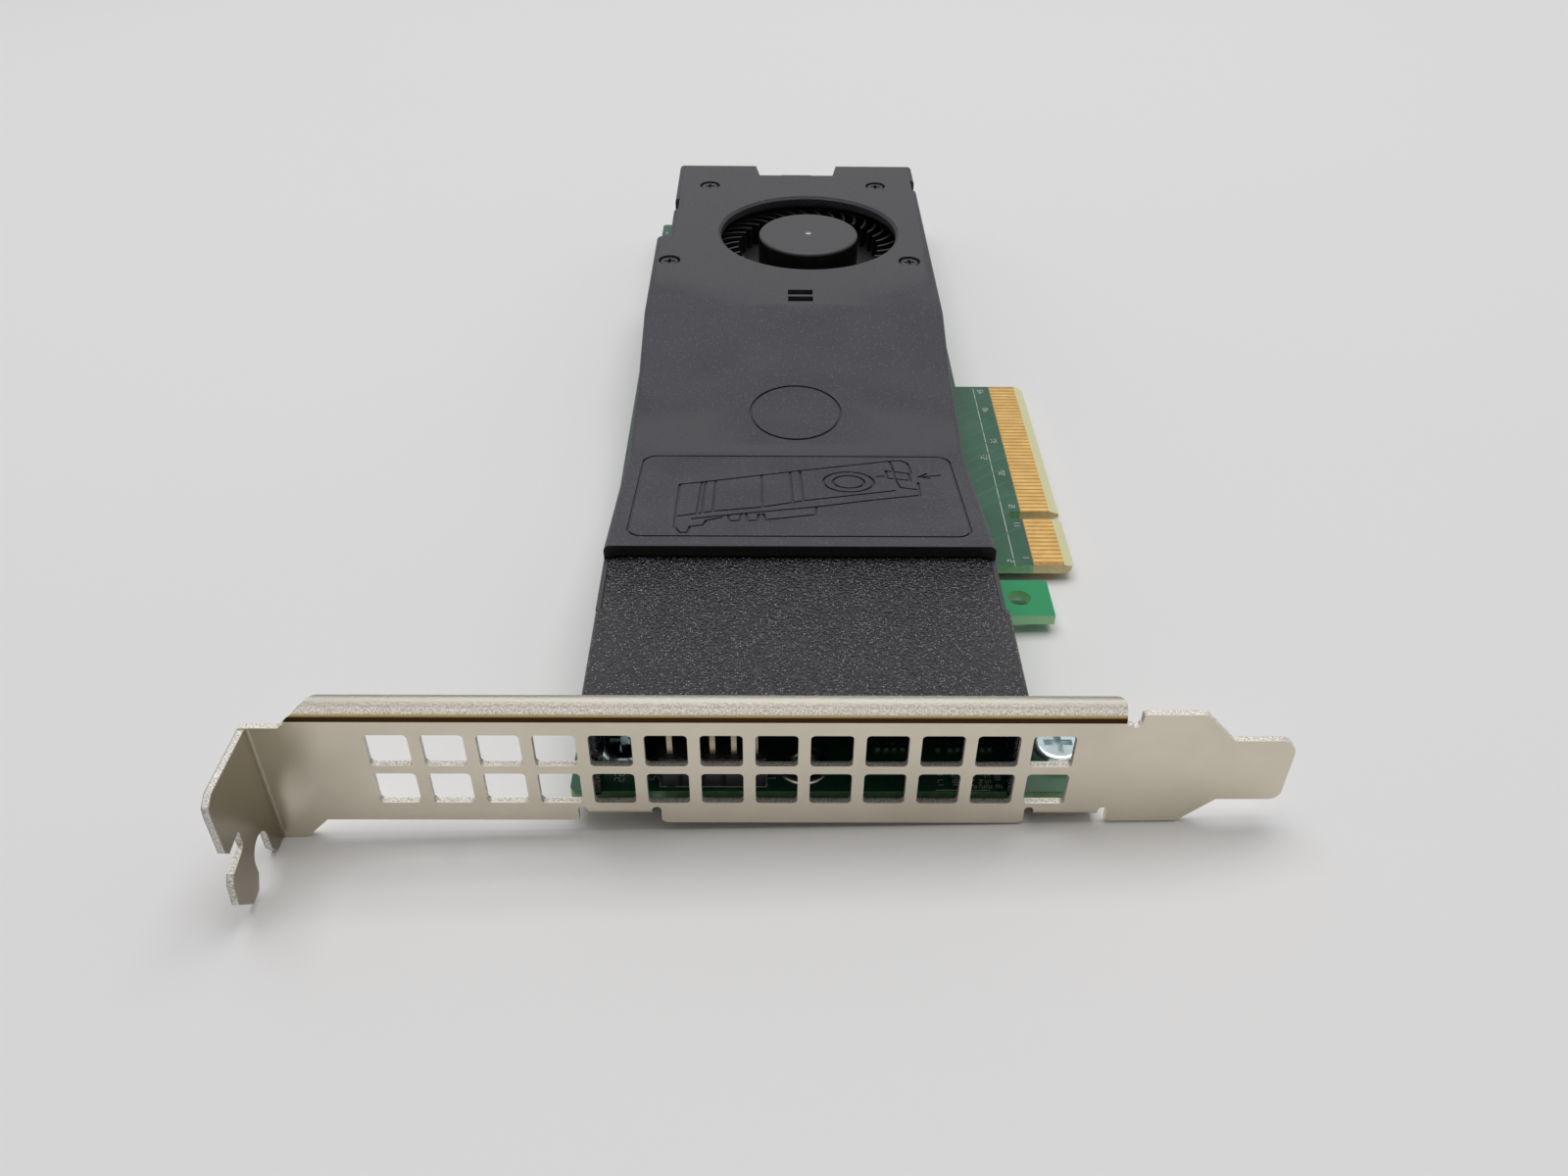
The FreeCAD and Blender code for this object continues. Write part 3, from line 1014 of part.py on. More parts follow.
def make_impeller():
    floor = BASE_TOP + IMPELLER_FLOOR_GAP
    blade_top = LID_LOW - IMPELLER_LID_GAP
    disc_top = floor + IMPELLER_FLOOR
    hub = rod(0, 0, floor, HUB_HIGH, HUB_RADIUS)
    hub = hub.makeFillet(HUB_EDGE_RADIUS, rim_edges(hub, HUB_HIGH))
    disc = rod(0, 0, floor, disc_top, IMPELLER_RADIUS)
    rim = tube(0, 0, blade_top - IMPELLER_RIM, blade_top, IMPELLER_RADIUS,
               IMPELLER_RADIUS - 2.0 * IMPELLER_RIM)
    blades = []
    for index in range(BLADE_COUNT):
        blade = make_blade(disc_top - MERGE, blade_top)
        blade.rotate(V(0, 0, 0), V(0, 0, 1), 360.0 * index / BLADE_COUNT)
        blades.append(blade)
    wheel = fuse([hub, disc, rim] + blades)
    cup_top = HUB_HIGH - HUB_ROOF
    bore = rod(0, 0, floor - EPS, cup_top, HUB_RADIUS - HUB_WALL)
    boss = rod(0, 0, cup_top - HUB_BOSS_LENGTH, cup_top, HUB_BOSS_RADIUS)
    dimple = rod(0, 0, HUB_HIGH - GATE_DEPTH, HUB_HIGH + EPS, GATE_RADIUS)
    wheel = fuse([wheel.cut(bore), boss])
    wheel = cut(wheel, [rod(0, 0, floor - EPS, SHAFT_TOP, SHAFT_RADIUS), dimple])
    wheel.translate(V(FAN_X, FAN_Y, 0))
    return wheel


def make_rotor_parts():
    """Steel cup, ring magnet and shaft inside the impeller's hub."""
    floor = BASE_TOP + IMPELLER_FLOOR_GAP
    outer = HUB_RADIUS - HUB_WALL
    roof = HUB_HIGH - HUB_ROOF - HUB_BOSS_LENGTH
    cup_low = floor + CUP_RECESS
    cup = rod(FAN_X, FAN_Y, cup_low, roof, outer)
    cup = cut(cup, [rod(FAN_X, FAN_Y, cup_low - EPS, roof - CUP_WALL, outer - CUP_WALL),
                    rod(FAN_X, FAN_Y, cup_low - EPS, roof + EPS, SHAFT_RADIUS)])
    magnet_outer = outer - CUP_WALL
    magnet = tube(FAN_X, FAN_Y, cup_low, cup_low + MAGNET_HEIGHT, magnet_outer,
                  magnet_outer - MAGNET_THICKNESS)
    shaft_low = BASE_TOP + THRUST_THICKNESS + THRUST_GAP
    shaft = rod(FAN_X, FAN_Y, shaft_low, SHAFT_TOP, SHAFT_RADIUS)
    return cup, magnet, shaft


def stator_radii():
    inner = BEARING_RADIUS + TUBE_WALL
    outer = HUB_RADIUS - HUB_WALL - CUP_WALL - MAGNET_THICKNESS - AIR_GAP
    return inner, outer


def make_stator():
    """Laminated core with its teeth, and one winding round each tooth."""
    inner, outer = stator_radii()
    z0 = BASE_TOP + DRIVER_THICKNESS + STATOR_RAISE
    z1 = z0 + STATOR_HEIGHT
    yoke = inner + YOKE_WALL
    core = [rod(0, 0, z0, z1, yoke)]
    shoe_ring = tube(0, 0, z0, z1, outer, outer - TOOTH_SHOE)
    coils = []
    for index in range(STATOR_TEETH):
        turn = 360.0 * index / STATOR_TEETH
        tooth = box(yoke - MERGE, outer - TOOTH_SHOE / 2.0, -TOOTH_WIDTH / 2.0,
                    TOOTH_WIDTH / 2.0, z0, z1)
        shoe = shoe_ring.common(box(0, outer, -SHOE_WIDTH / 2.0, SHOE_WIDTH / 2.0, z0, z1))
        x0 = yoke + COIL_GAP
        x1 = outer - TOOTH_SHOE - COIL_GAP
        wide = TOOTH_WIDTH / 2.0 + COIL_THICKNESS
        coil = box(x0, x1, -wide, wide, z0 - COIL_THICKNESS, z1 + COIL_THICKNESS)
        coil = coil.cut(box(x0 - EPS, x1 + EPS, -TOOTH_WIDTH / 2.0, TOOTH_WIDTH / 2.0, z0, z1))
        for shape in (tooth, shoe, coil):
            shape.rotate(V(0, 0, 0), V(0, 0, 1), turn)
        core += [tooth, shoe]
        coils.append(coil)
    body = fuse(core).cut(rod(0, 0, z0 - EPS, z1 + EPS, inner))
    for shape in [body] + coils:
        shape.translate(V(FAN_X, FAN_Y, 0))
    return body, coils


def make_blower_parts():
    inner, outer = stator_radii()
    save("blower_housing", make_blower_housing())
    save("blower_lid", make_blower_lid())
    save("impeller", make_impeller())
    cup, magnet, shaft = make_rotor_parts()
    save("rotor_cup", cup)
    save("rotor_magnet", magnet)
    save("rotor_shaft", shaft)
    thrust_top = BASE_TOP + THRUST_THICKNESS
    save("thrust_washer", rod(FAN_X, FAN_Y, BASE_TOP, thrust_top, BEARING_RADIUS))
    save("shaft_bearing", tube(FAN_X, FAN_Y, thrust_top, thrust_top + BEARING_LENGTH,
                               BEARING_RADIUS, SHAFT_RADIUS + SHAFT_CLEARANCE))
    core, coils = make_stator()
    save("stator_core", core)
    save("stator_windings", *coils)
    save("motor_board", tube(FAN_X, FAN_Y, BASE_TOP, BASE_TOP + DRIVER_THICKNESS, outer, inner))
    save("blower_screws", *blower_screws())


# -------------------------------------------------------------- board components
def make_socket(x):
    half = MODULE_WIDTH / 2.0
    body = box(x - half, x + half, SOCKET_Y0, SOCKET_Y1, 0, SOCKET_HEIGHT)
    end = SOCKET_END_WALL
    slot = box(x - half + end, x + half - end, SOCKET_Y1 - SOCKET_SLOT_DEPTH,
               SOCKET_Y1 + EPS, SOCKET_SLOT_LOW, SOCKET_SLOT_LOW + SOCKET_SLOT_HEIGHT)
    key = box(x + half - SOCKET_KEY_AT - SOCKET_KEY_WIDTH, x + half - SOCKET_KEY_AT,
              SOCKET_Y1 - SOCKET_SLOT_DEPTH, SOCKET_Y1, SOCKET_SLOT_LOW,
              SOCKET_SLOT_LOW + SOCKET_SLOT_HEIGHT)
    front_step = box(x - half + 2.0 * end, x + half - 2.0 * end, SOCKET_Y1 - SOCKET_LEDGE,
                     SOCKET_Y1 + EPS, SOCKET_HEIGHT - SOCKET_LEDGE, SOCKET_HEIGHT + EPS)
    return body.cut(slot.cut(key)).cut(front_step)


def make_socket_contacts(x):
    """Solder feet along both long sides of a socket."""
    feet = []
    span = CONTACT_PITCH * (CONTACT_COUNT - 1)
    half = CONTACT_WIDTH / 2.0
    for side, shift in ((-1, 0.0), (1, CONTACT_PITCH / 2.0)):
        face = SOCKET_Y0 if side < 0 else SOCKET_Y1
        y0, y1 = sorted((face, face + side * CONTACT_LENGTH))
        for index in range(CONTACT_COUNT):
            cx = x - span / 2.0 + shift + index * CONTACT_PITCH
            feet.append(box(cx - half, cx + half, y0, y1, 0, CONTACT_THICKNESS))
    return feet


def make_standoff(x):
    post = rod(x, STANDOFF_Y, 0, STANDOFF_HEIGHT, STANDOFF_RADIUS)
    peg = rod(x, STANDOFF_Y, -STANDOFF_PEG_LENGTH, MERGE, STANDOFF_PEG_RADIUS)
    bore = rod(x, STANDOFF_Y, STANDOFF_HEIGHT - MODULE_SCREW_LENGTH - SCREW_END_ROOM,
               STANDOFF_HEIGHT + EPS, MODULE_SCREW_RADIUS + THREAD_CLEARANCE)
    return fuse([post, peg]).cut(bore)


def make_header():
    places = header_pin_places()
    half = HEADER_PITCH / 2.0
    y = places[0][1]
    bodies = []
    for x, _ in places:
        cell = box(x - half, x + half, y - HEADER_BODY / 2.0, y + HEADER_BODY / 2.0,
                   0, HEADER_HEIGHT)
        upright = [edge for edge in cell.Edges
                   if abs(edge.Vertexes[1].Point.z - edge.Vertexes[0].Point.z) > EPS]
        bodies.append(cell.makeChamfer(HEADER_CHAMFER, upright))
    pin = PIN_SIZE / 2.0
    holes = [box(x - pin, x + pin, y - pin, y + pin, -EPS, HEADER_HEIGHT + EPS)
             for x, _ in places]
    pins = []
    for x, _ in places:
        stem = box(x - pin, x + pin, y - pin, y + pin, -BOARD_THICKNESS - PIN_LOW, PIN_HIGH)
        pins.append(stem.makeChamfer(PIN_CHAMFER, rim_edges(stem, PIN_HIGH)))
    return cut(fuse(bodies), holes), pins


def make_plated_ring():
    return tube(BOARD_X0 + PAD_FROM_EDGE, BRACKET_Y + PAD_AT, 0, PAD_THICKNESS,
                PAD_RADIUS, PAD_HOLE_RADIUS + NEAR)


# Small parts on the board: size across X, along Y and height.
CHIP_CAPACITOR = (0.8, 1.6, 0.8)
CHIP_RESISTOR = (0.5, 1.0, 0.35)
INDUCTOR = (6.2, 6.2, 2.8)
INDUCTOR_CORNER = 0.5
REGULATOR = (5.0, 5.0, 0.9)
CLOCK_BUFFER = (5.0, 5.0, 0.9)
MEMORY_CHIP = (3.0, 4.4, 1.0)
WIRE_SOCKET = (7.2, 3.4, 3.6)
WIRE_SOCKET_WALL = 0.6
WIRE_PIN = (0.4, 0.4, 2.4)
WIRE_PINS = 4
WIRE_PIN_PITCH = 1.25

# Their places: first from the board's far long edge, then from the board's rear end
# for the parts under the blower, and from the bracket's outer face for the others.
POWER_STAGES = (13.0, 22.0)
INDUCTORS_FROM_END = 18.4
REGULATORS_FROM_END = 25.5
CLOCK_BUFFER_PLACE = (33.0, 25.5)
WIRE_SOCKET_PLACE = (45.0, 18.5)
POWER_CAPACITOR_FIRST = (8.0, 12.4)
POWER_CAPACITOR_PITCH = (1.8, 2.4)
POWER_CAPACITOR_COLUMNS = 8
POWER_CAPACITOR_ROWS = 2
COUPLING_FIRST = 8.4            # from each socket's middle
COUPLING_PITCH = 1.2
COUPLING_COUNT = 8
COUPLING_AHEAD = 4.0            # from the sockets towards the bracket
MEMORY_CHIP_PLACE = (27.5, 18.0)
RESISTOR_ROW_AT = 9.25
RESISTOR_ROW = (16.55, 15.52, 14.50, 13.43, 9.04, 7.55, 6.62, 3.56, 2.62)


def block(size, x, y, height=0.0):
    return box(x - size[0] / 2.0, x + size[0] / 2.0, y - size[1] / 2.0, y + size[1] / 2.0,
               height, height + size[2])


def rear_block(size, place, height=0.0):
    return block(size, BOARD_X0 + place[0], BOARD_Y1 - place[1], height)


def make_inductors():
    solids = []
    for distance in POWER_STAGES:
        body = rear_block(INDUCTOR, (distance, INDUCTORS_FROM_END))
        solids.append(round_edges(body, INDUCTOR_CORNER,
                                  lambda middle, way: abs(way.z) > EPS))
    return solids


def make_power_capacitors():
    first, pitch = POWER_CAPACITOR_FIRST, POWER_CAPACITOR_PITCH
    return [rear_block(CHIP_CAPACITOR, (first[0] + pitch[0] * i, first[1] - pitch[1] * j))
            for j in range(POWER_CAPACITOR_ROWS) for i in range(POWER_CAPACITOR_COLUMNS)]


def make_coupling_capacitors():
    """A row for each socket's lanes."""
    y = SOCKET_Y0 - COUPLING_AHEAD
    return [block(CHIP_CAPACITOR, x - COUPLING_FIRST + COUPLING_PITCH * index, y)
            for x in MODULE_X for index in range(COUPLING_COUNT)]


def make_setting_resistors():
    """The row behind the bracket's windows."""
    y = BRACKET_Y + RESISTOR_ROW_AT
    return [block(CHIP_RESISTOR, COVER_X1 - distance, y) for distance in RESISTOR_ROW]


def make_blower_socket():
    """Four-way wire socket of the blower, with its pins."""
    length, width, height = WIRE_SOCKET
    wall = WIRE_SOCKET_WALL
    distance, from_end = WIRE_SOCKET_PLACE
    body = rear_block(WIRE_SOCKET, WIRE_SOCKET_PLACE)
    inner = rear_block((length - 2.0 * wall, width - 2.0 * wall, height),
                       WIRE_SOCKET_PLACE, wall)
    first = distance - WIRE_PIN_PITCH * (WIRE_PINS - 1) / 2.0
    pins = [rear_block(WIRE_PIN, (first + WIRE_PIN_PITCH * index, from_end), wall)
            for index in range(WIRE_PINS)]
    return body.cut(inner), pins


def make_board_components():
    save("m2_socket_left", make_socket(MODULE_X[0]))
    save("m2_socket_right", make_socket(MODULE_X[1]))
    save("m2_socket_contacts", *(make_socket_contacts(MODULE_X[0])
                                 + make_socket_contacts(MODULE_X[1])))
    save("m2_standoffs", *[make_standoff(x) for x in MODULE_X])
    save("m2_screws", *[pan_screw(x, STANDOFF_Y, STANDOFF_HEIGHT, MODULE_SCREW_HEAD,
                                  MODULE_SCREW_HEAD_HEIGHT, MODULE_SCREW_RADIUS,
                                  MODULE_SCREW_LENGTH) for x in MODULE_X])
    header, pins = make_header()
    save("pin_header", header)
    save("header_pins", *pins)
    save("plated_ring", make_plated_ring())
    save("power_inductors", *make_inductors())
    save("power_regulators", *[rear_block(REGULATOR, (distance, REGULATORS_FROM_END))
                               for distance in POWER_STAGES])
    save("clock_buffer", rear_block(CLOCK_BUFFER, CLOCK_BUFFER_PLACE))
    save("memory_chip", block(MEMORY_CHIP, BOARD_X0 + MEMORY_CHIP_PLACE[0],
                              BRACKET_Y + MEMORY_CHIP_PLACE[1]))
    save("power_capacitors", *make_power_capacitors())
    save("coupling_capacitors", *make_coupling_capacitors())
    save("setting_resistors", *make_setting_resistors())
    socket, socket_pins = make_blower_socket()
    save("blower_socket", socket)
    save("blower_socket_pins", *socket_pins)


def main():
    os.makedirs("parts", exist_ok=True)
    save("circuit_board", make_board())
    save("contact_fingers_top", *make_fingers(0.0))
    save("contact_fingers_bottom", *make_fingers(-BOARD_THICKNESS - FINGER_THICKNESS))
    save("bracket", make_bracket())
    save("bracket_screws", *bracket_screws())
    save("top_cover", make_cover())
    save("outlet_duct", make_duct())
    save("duct_screws", *duct_screws())
    make_blower_parts()
    make_board_components()


main()
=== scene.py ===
import json
import math
import random

import bmesh
import bpy
from mathutils import Euler, Matrix, Vector


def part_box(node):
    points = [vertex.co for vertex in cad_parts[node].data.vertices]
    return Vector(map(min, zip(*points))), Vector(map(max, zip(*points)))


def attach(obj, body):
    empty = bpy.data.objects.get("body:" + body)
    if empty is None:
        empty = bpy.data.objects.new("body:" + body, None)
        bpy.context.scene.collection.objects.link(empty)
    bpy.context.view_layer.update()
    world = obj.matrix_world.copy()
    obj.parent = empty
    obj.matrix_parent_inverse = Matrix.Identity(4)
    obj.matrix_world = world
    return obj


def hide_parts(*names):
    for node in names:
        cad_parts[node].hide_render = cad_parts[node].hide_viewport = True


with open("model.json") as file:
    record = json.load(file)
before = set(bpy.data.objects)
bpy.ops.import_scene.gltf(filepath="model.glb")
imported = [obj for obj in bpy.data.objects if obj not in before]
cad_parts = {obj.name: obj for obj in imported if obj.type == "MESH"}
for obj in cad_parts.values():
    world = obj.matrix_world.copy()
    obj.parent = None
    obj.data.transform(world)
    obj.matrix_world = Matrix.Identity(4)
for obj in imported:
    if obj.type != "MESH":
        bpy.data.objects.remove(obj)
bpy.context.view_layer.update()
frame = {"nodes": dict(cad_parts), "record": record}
NODES = frame["nodes"]
SLOT_OF = {part["node"]: part["material_slot"] for part in frame["record"]["subparts"]}
MM = 0.001
CARD = "card"


def new_object(name, data):
    """An object of the scene that holds this data."""
    item = bpy.data.objects.new(name, data)
    bpy.context.scene.collection.objects.link(item)
    return item


# ------------------------------------------------------------------ the view
CAMERA_PLACE = (-0.044844, -0.161274, 0.115012)      # in metres
CAMERA_TURN = (51.205, -0.5046, -0.3420)             # in degrees
CAMERA_LENS, SENSOR_WIDTH = 29.30, 36.0              # in mm
SEEN_FROM, SEEN_TO = 0.005, 20.0                     # in metres


def set_camera():
    data = bpy.data.cameras.new("camera")
    data.lens = CAMERA_LENS
    data.sensor_width = SENSOR_WIDTH
    data.clip_start = SEEN_FROM
    data.clip_end = SEEN_TO
    camera = new_object("camera", data)
    camera.location = CAMERA_PLACE
    camera.rotation_euler = Euler([math.radians(angle) for angle in CAMERA_TURN])
    bpy.context.scene.camera = camera
    bpy.context.scene.view_settings.view_transform = "Standard"


# --------------------------------------------------------- shader node helpers
MIX_SHARE, MIX_FIRST, MIX_SECOND, MIX_RESULT = 0, 6, 7, 2     # a Mix node's colour sockets


def tone(red, green, blue):
    """A colour given as it looks on a screen, 0 to 255, as linear values."""
    values = []
    for part in (red, green, blue):
        share = part / 255.0
        low = share / 12.92
        high = ((share + 0.055) / 1.055) ** 2.4
        values.append(low if share <= 0.04045 else high)
    return (*values, 1.0)


def put(tree, kind, **settings):
    node = tree.nodes.new("ShaderNode" + kind)
    for name, value in settings.items():
        setattr(node, name, value)
    return node


def feed(tree, socket, value):
    if isinstance(value, bpy.types.NodeSocket):
        tree.links.new(value, socket)
    else:
        socket.default_value = value


def reckon(tree, operation, *values, clamp=False):
    node = put(tree, "Math", operation=operation, use_clamp=clamp)
    for socket, value in zip(node.inputs, values):
        feed(tree, socket, value)
    return node.outputs[0]


def between(tree, share, first, second):
    """A colour between two colours."""
    node = put(tree, "Mix", data_type="RGBA")
    for index, value in ((MIX_SHARE, share), (MIX_FIRST, first), (MIX_SECOND, second)):
        feed(tree, node.inputs[index], value)
    return node.outputs[MIX_RESULT]


def spread(tree, value, low, high, to_low=0.0, to_high=1.0):
    """A value taken from one range to another and held inside it."""
    node = put(tree, "MapRange")
    for index, part in enumerate((value, low, high, to_low, to_high)):
        feed(tree, node.inputs[index], part)
    return node.outputs[0]


def place_of(tree):
    return put(tree, "TexCoord").outputs["Object"]


def axes_of(tree, direction):
    node = put(tree, "SeparateXYZ")
    feed(tree, node.inputs[0], direction)
    return node.outputs


def new_group(name, inputs, outputs):
    """A shader group with float inputs and outputs, and its two ends."""
    tree = bpy.data.node_groups.new(name, "ShaderNodeTree")
    for label, value in inputs.items():
        socket = tree.interface.new_socket(label, in_out="INPUT",
                                           socket_type="NodeSocketFloat")
        socket.default_value = value
    for label in outputs:
        tree.interface.new_socket(label, in_out="OUTPUT", socket_type="NodeSocketFloat")
    given = tree.nodes.new("NodeGroupInput").outputs
    return tree, given, tree.nodes.new("NodeGroupOutput").inputs


def use_group(tree, group, **values):
    node = tree.nodes.new("ShaderNodeGroup")
    node.node_tree = group
    for name, value in values.items():
        feed(tree, node.inputs[name.replace("_", " ")], value)
    return node.outputs


# ------------------------------------------------------------- shared effects
CELL_SMOOTHNESS = 0.5
FINER_BY, FINE_SHARE = 1.7, 0.6          # the finer unevenness on the leather's cells
MOTTLE_RANGE = (0.32, 0.68)              # of the noise that becomes 0 to 1
SPECK_EDGE = (0.22, 0.36)                # of a cell's size, where a speck fades out
BRUSHED_ALONG = (0.06, 1.0, 1.0)


def make_leather_grain():
    """Rounded cells with finer unevenness on them, as a mould's etched face gives."""
    tree, given, result = new_group("leather_grain", {"Cell": 0.001}, ["Height"])
    place = place_of(tree)
    scale = reckon(tree, "DIVIDE", 1.0, given["Cell"])
    cells = put(tree, "TexVoronoi", feature="SMOOTH_F1")
    feed(tree, cells.inputs["Vector"], place)
    feed(tree, cells.inputs["Scale"], scale)
    feed(tree, cells.inputs["Smoothness"], CELL_SMOOTHNESS)
    fine = put(tree, "TexNoise")
    feed(tree, fine.inputs["Vector"], place)
    feed(tree, fine.inputs["Scale"], reckon(tree, "MULTIPLY", scale, FINER_BY))
    feed(tree, fine.inputs["Detail"], 2.0)
    hills = reckon(tree, "SUBTRACT", 1.0, cells.outputs["Distance"])
    tree.links.new(reckon(tree, "MULTIPLY_ADD", fine.outputs["Fac"], FINE_SHARE, hills),
                   result["Height"])
    return tree


def make_mottle():
    """Slow patches from 0 to 1, for small differences of colour and gloss."""
    tree, given, result = new_group("mottle", {"Size": 0.005}, ["Mask"])
    noise = put(tree, "TexNoise")
    feed(tree, noise.inputs["Vector"], place_of(tree))
    feed(tree, noise.inputs["Scale"], reckon(tree, "DIVIDE", 1.0, given["Size"]))
    feed(tree, noise.inputs["Detail"], 3.0)
    tree.links.new(spread(tree, noise.outputs["Fac"], *MOTTLE_RANGE), result["Mask"])
    return tree


def make_specks():
    """Small sparse dots: Share is how many of the cells hold one."""
    tree, given, result = new_group("glint_specks", {"Size": 0.0005, "Share": 0.1}, ["Mask"])
    cells = put(tree, "TexVoronoi")
    feed(tree, cells.inputs["Vector"], place_of(tree))
    feed(tree, cells.inputs["Scale"], reckon(tree, "DIVIDE", 1.0, given["Size"]))
    near = spread(tree, cells.outputs["Distance"], *SPECK_EDGE, 1.0, 0.0)
    channels = put(tree, "SeparateColor")
    feed(tree, channels.inputs[0], cells.outputs["Color"])
    chosen = reckon(tree, "LESS_THAN", channels.outputs[0], given["Share"])
    tree.links.new(reckon(tree, "MULTIPLY", near, chosen), result["Mask"])
    return tree


def make_brushing():
    """Fine lines along X with a little unevenness, as on rolled and plated sheet."""
    tree, given, result = new_group("brushing", {"Size": 0.0004}, ["Height"])
    stretch = put(tree, "Mapping")
    feed(tree, stretch.inputs["Vector"], place_of(tree))
    feed(tree, stretch.inputs["Scale"], BRUSHED_ALONG)
    lines = put(tree, "TexNoise")
    feed(tree, lines.inputs["Vector"], stretch.outputs[0])
    feed(tree, lines.inputs["Scale"], reckon(tree, "DIVIDE", 1.0, given["Size"]))
    feed(tree, lines.inputs["Detail"], 2.0)
    tree.links.new(lines.outputs["Fac"], result["Height"])
    return tree


def make_box_mask():
    """1 inside a rectangle of X and Y, else 0."""
    tree, given, result = new_group(
        "box_mask", {"Low X": 0.0, "High X": 0.0, "Low Y": 0.0, "High Y": 0.0}, ["Mask"])
    axes = axes_of(tree, place_of(tree))
    inside = 1.0
    for axis in ("X", "Y"):
        above = reckon(tree, "GREATER_THAN", axes[axis], given["Low " + axis])
        below = reckon(tree, "LESS_THAN", axes[axis], given["High " + axis])
        inside = reckon(tree, "MULTIPLY", inside, reckon(tree, "MULTIPLY", above, below))
    tree.links.new(inside, result["Mask"])
    return tree


def make_facing():
    """How level the surface is: 1 on top and underneath, 0 on upright faces."""
    tree, given, result = new_group("facing", {"Low": 0.6, "High": 0.8}, ["Level"])
    axes = axes_of(tree, put(tree, "TexCoord").outputs["Normal"])
    level = reckon(tree, "ABSOLUTE", axes["Z"])
    tree.links.new(spread(tree, level, given["Low"], given["High"]), result["Level"])
    return tree


GRAIN = make_leather_grain()
MOTTLE = make_mottle()
SPECKS = make_specks()
BRUSHING = make_brushing()
BOX_MASK = make_box_mask()
FACING = make_facing()


def mottled(tree, size):
    return use_group(tree, MOTTLE, Size=size)["Mask"]


def mask_where(tree, axis, test, limit):
    """1 where a coordinate is above or below a limit, else 0."""
    return reckon(tree, test, axes_of(tree, place_of(tree))[axis], limit)


def mask_inside(tree, x_range, y_range):
    """1 inside a rectangle of X and Y, else 0."""
    return use_group(tree, BOX_MASK, Low_X=x_range[0], High_X=x_range[1],
                     Low_Y=y_range[0], High_Y=y_range[1])["Mask"]


# ---------------------------------------------------- places and tones on pieces
AFAR = 1.0                               # past any piece, in metres
ANYWHERE = (-AFAR, AFAR)

# The bracket, in mm: its sheet, the outer face, and the line under its bent-back upper edge.
SHEET = 0.86
SHEET_FRONT = -59.05
FOLD_LOW, FOLD_END = 13.35, -4.6         # heights from FOLD_LOW up, X up to FOLD_END
FACE_SKIN = 0.02                         # just outside the outer face the flange begins
FLANGE_BEND = 0.3                        # the flange's cut edges begin past its bend
EDGE_INSET = 0.09                        # the broken edge on each side of a cut
TABS_TOP = -0.9                          # the tabs under this height have no pale edges

# The bracket's tones: flat; painted shade on the flange; bent, with painted shade on the
# fold's level top; cut; and painted reflections, gold and dark brown, in the crease of the
# fold.
NICKEL_TONES = (tone(216, 208, 190), tone(224, 216, 199))
FLANGE_SHADE_TONE = tone(154, 147, 131)
WORKED_TONES = (tone(184, 174, 157), tone(252, 246, 238))
FOLD_TOP_SHADE = tone(140, 137, 128)
SHORN_TONES = (tone(176, 168, 154), tone(252, 250, 246))
CREASE_REFLECTION_TINTS = ((tone(178, 154, 102), 0.80, 1.05), (tone(60, 42, 24), 0.56, 0.74))

# How rough the bracket is: flat, bent and cut; how metallic its cut edges look.
SATIN_ROUGHNESS, FOLD_ROUGHNESS, SHORN_ROUGHNESS = (0.275, 0.30), 0.34, 0.5
SHORN_METAL = 0.35
NICKEL_PATCH, NICKEL_GRIT, BRUSHED_LINES = 9 * MM, 0.22 * MM, 0.35 * MM
BRUSHED_RANGE = (0.2, 0.8)               # of the lines, low to high
FLAT_TOOTH = 0.04                        # the grit's share left on the flat sheet
TOOTH_DEPTH, TOOTH_STRENGTH = 0.018 * MM, 0.7

# The cover: the line behind its front face, and the strip of painted shade, deep black, that
# ends there.
COVER_LIP, LIP_SHADE_STRIP = -26.60 * MM, 0.2 * MM
LIP_SHADE_BLACK = tone(5, 5, 6)

# The board: where its tones change, and those tones.
EARS_FROM, FINGERS_FROM = -14.2 * MM, -6.05 * MM                 # along X
SCREW_EAR_END, PALE_EAR_END, TAB_START = -24.6 * MM, -16.2 * MM, -12.7 * MM     # along Y
MASK_GREENS = (tone(38, 86, 65), tone(50, 100, 78))
PALE_EAR_GREEN, SCREW_EAR_GREEN = tone(26, 151, 95), tone(62, 102, 76)
LAMINATE_TONES = (tone(184, 135, 71), tone(212, 163, 90))
BEVEL_TONE = tone(222, 218, 174)
EDGE_GREENS, EAR_EDGE_GREEN = (tone(126, 184, 135), tone(151, 206, 157)), tone(170, 229, 173)
TAB_EDGE_TONES = (tone(226, 204, 150), tone(240, 220, 168))
MASK_PATCH, WEAVE = 7 * MM, 0.8 * MM
MASK_ROUGHNESS = (0.30, 0.42)
MASK_WAVES, WAVE_DEPTH, WAVE_STRENGTH = 0.5 * MM, 0.006 * MM, 0.5

# The impeller: its hub's radius and the mark of the moulding gate in its middle, and its
# tones, with painted shade on the hub's upright sides and on the blades.
HUB_RADIUS, GATE_RADIUS = 9.7 * MM, 0.55 * MM
HUB_TONES, GATE_TONE = (tone(52, 52, 56), tone(60, 60, 65)), tone(214, 214, 220)
HUB_SIDE_SHADE, BLADE_SHADE = tone(14, 14, 16), tone(12, 12, 14)
HUB_PATCH, HUB_ROUGHNESS = 2 * MM, (0.38, 0.46)
HUB_GRAIN, HUB_GRAIN_DEPTH, HUB_GRAIN_STRENGTH = 0.3 * MM, 0.008 * MM, 0.5

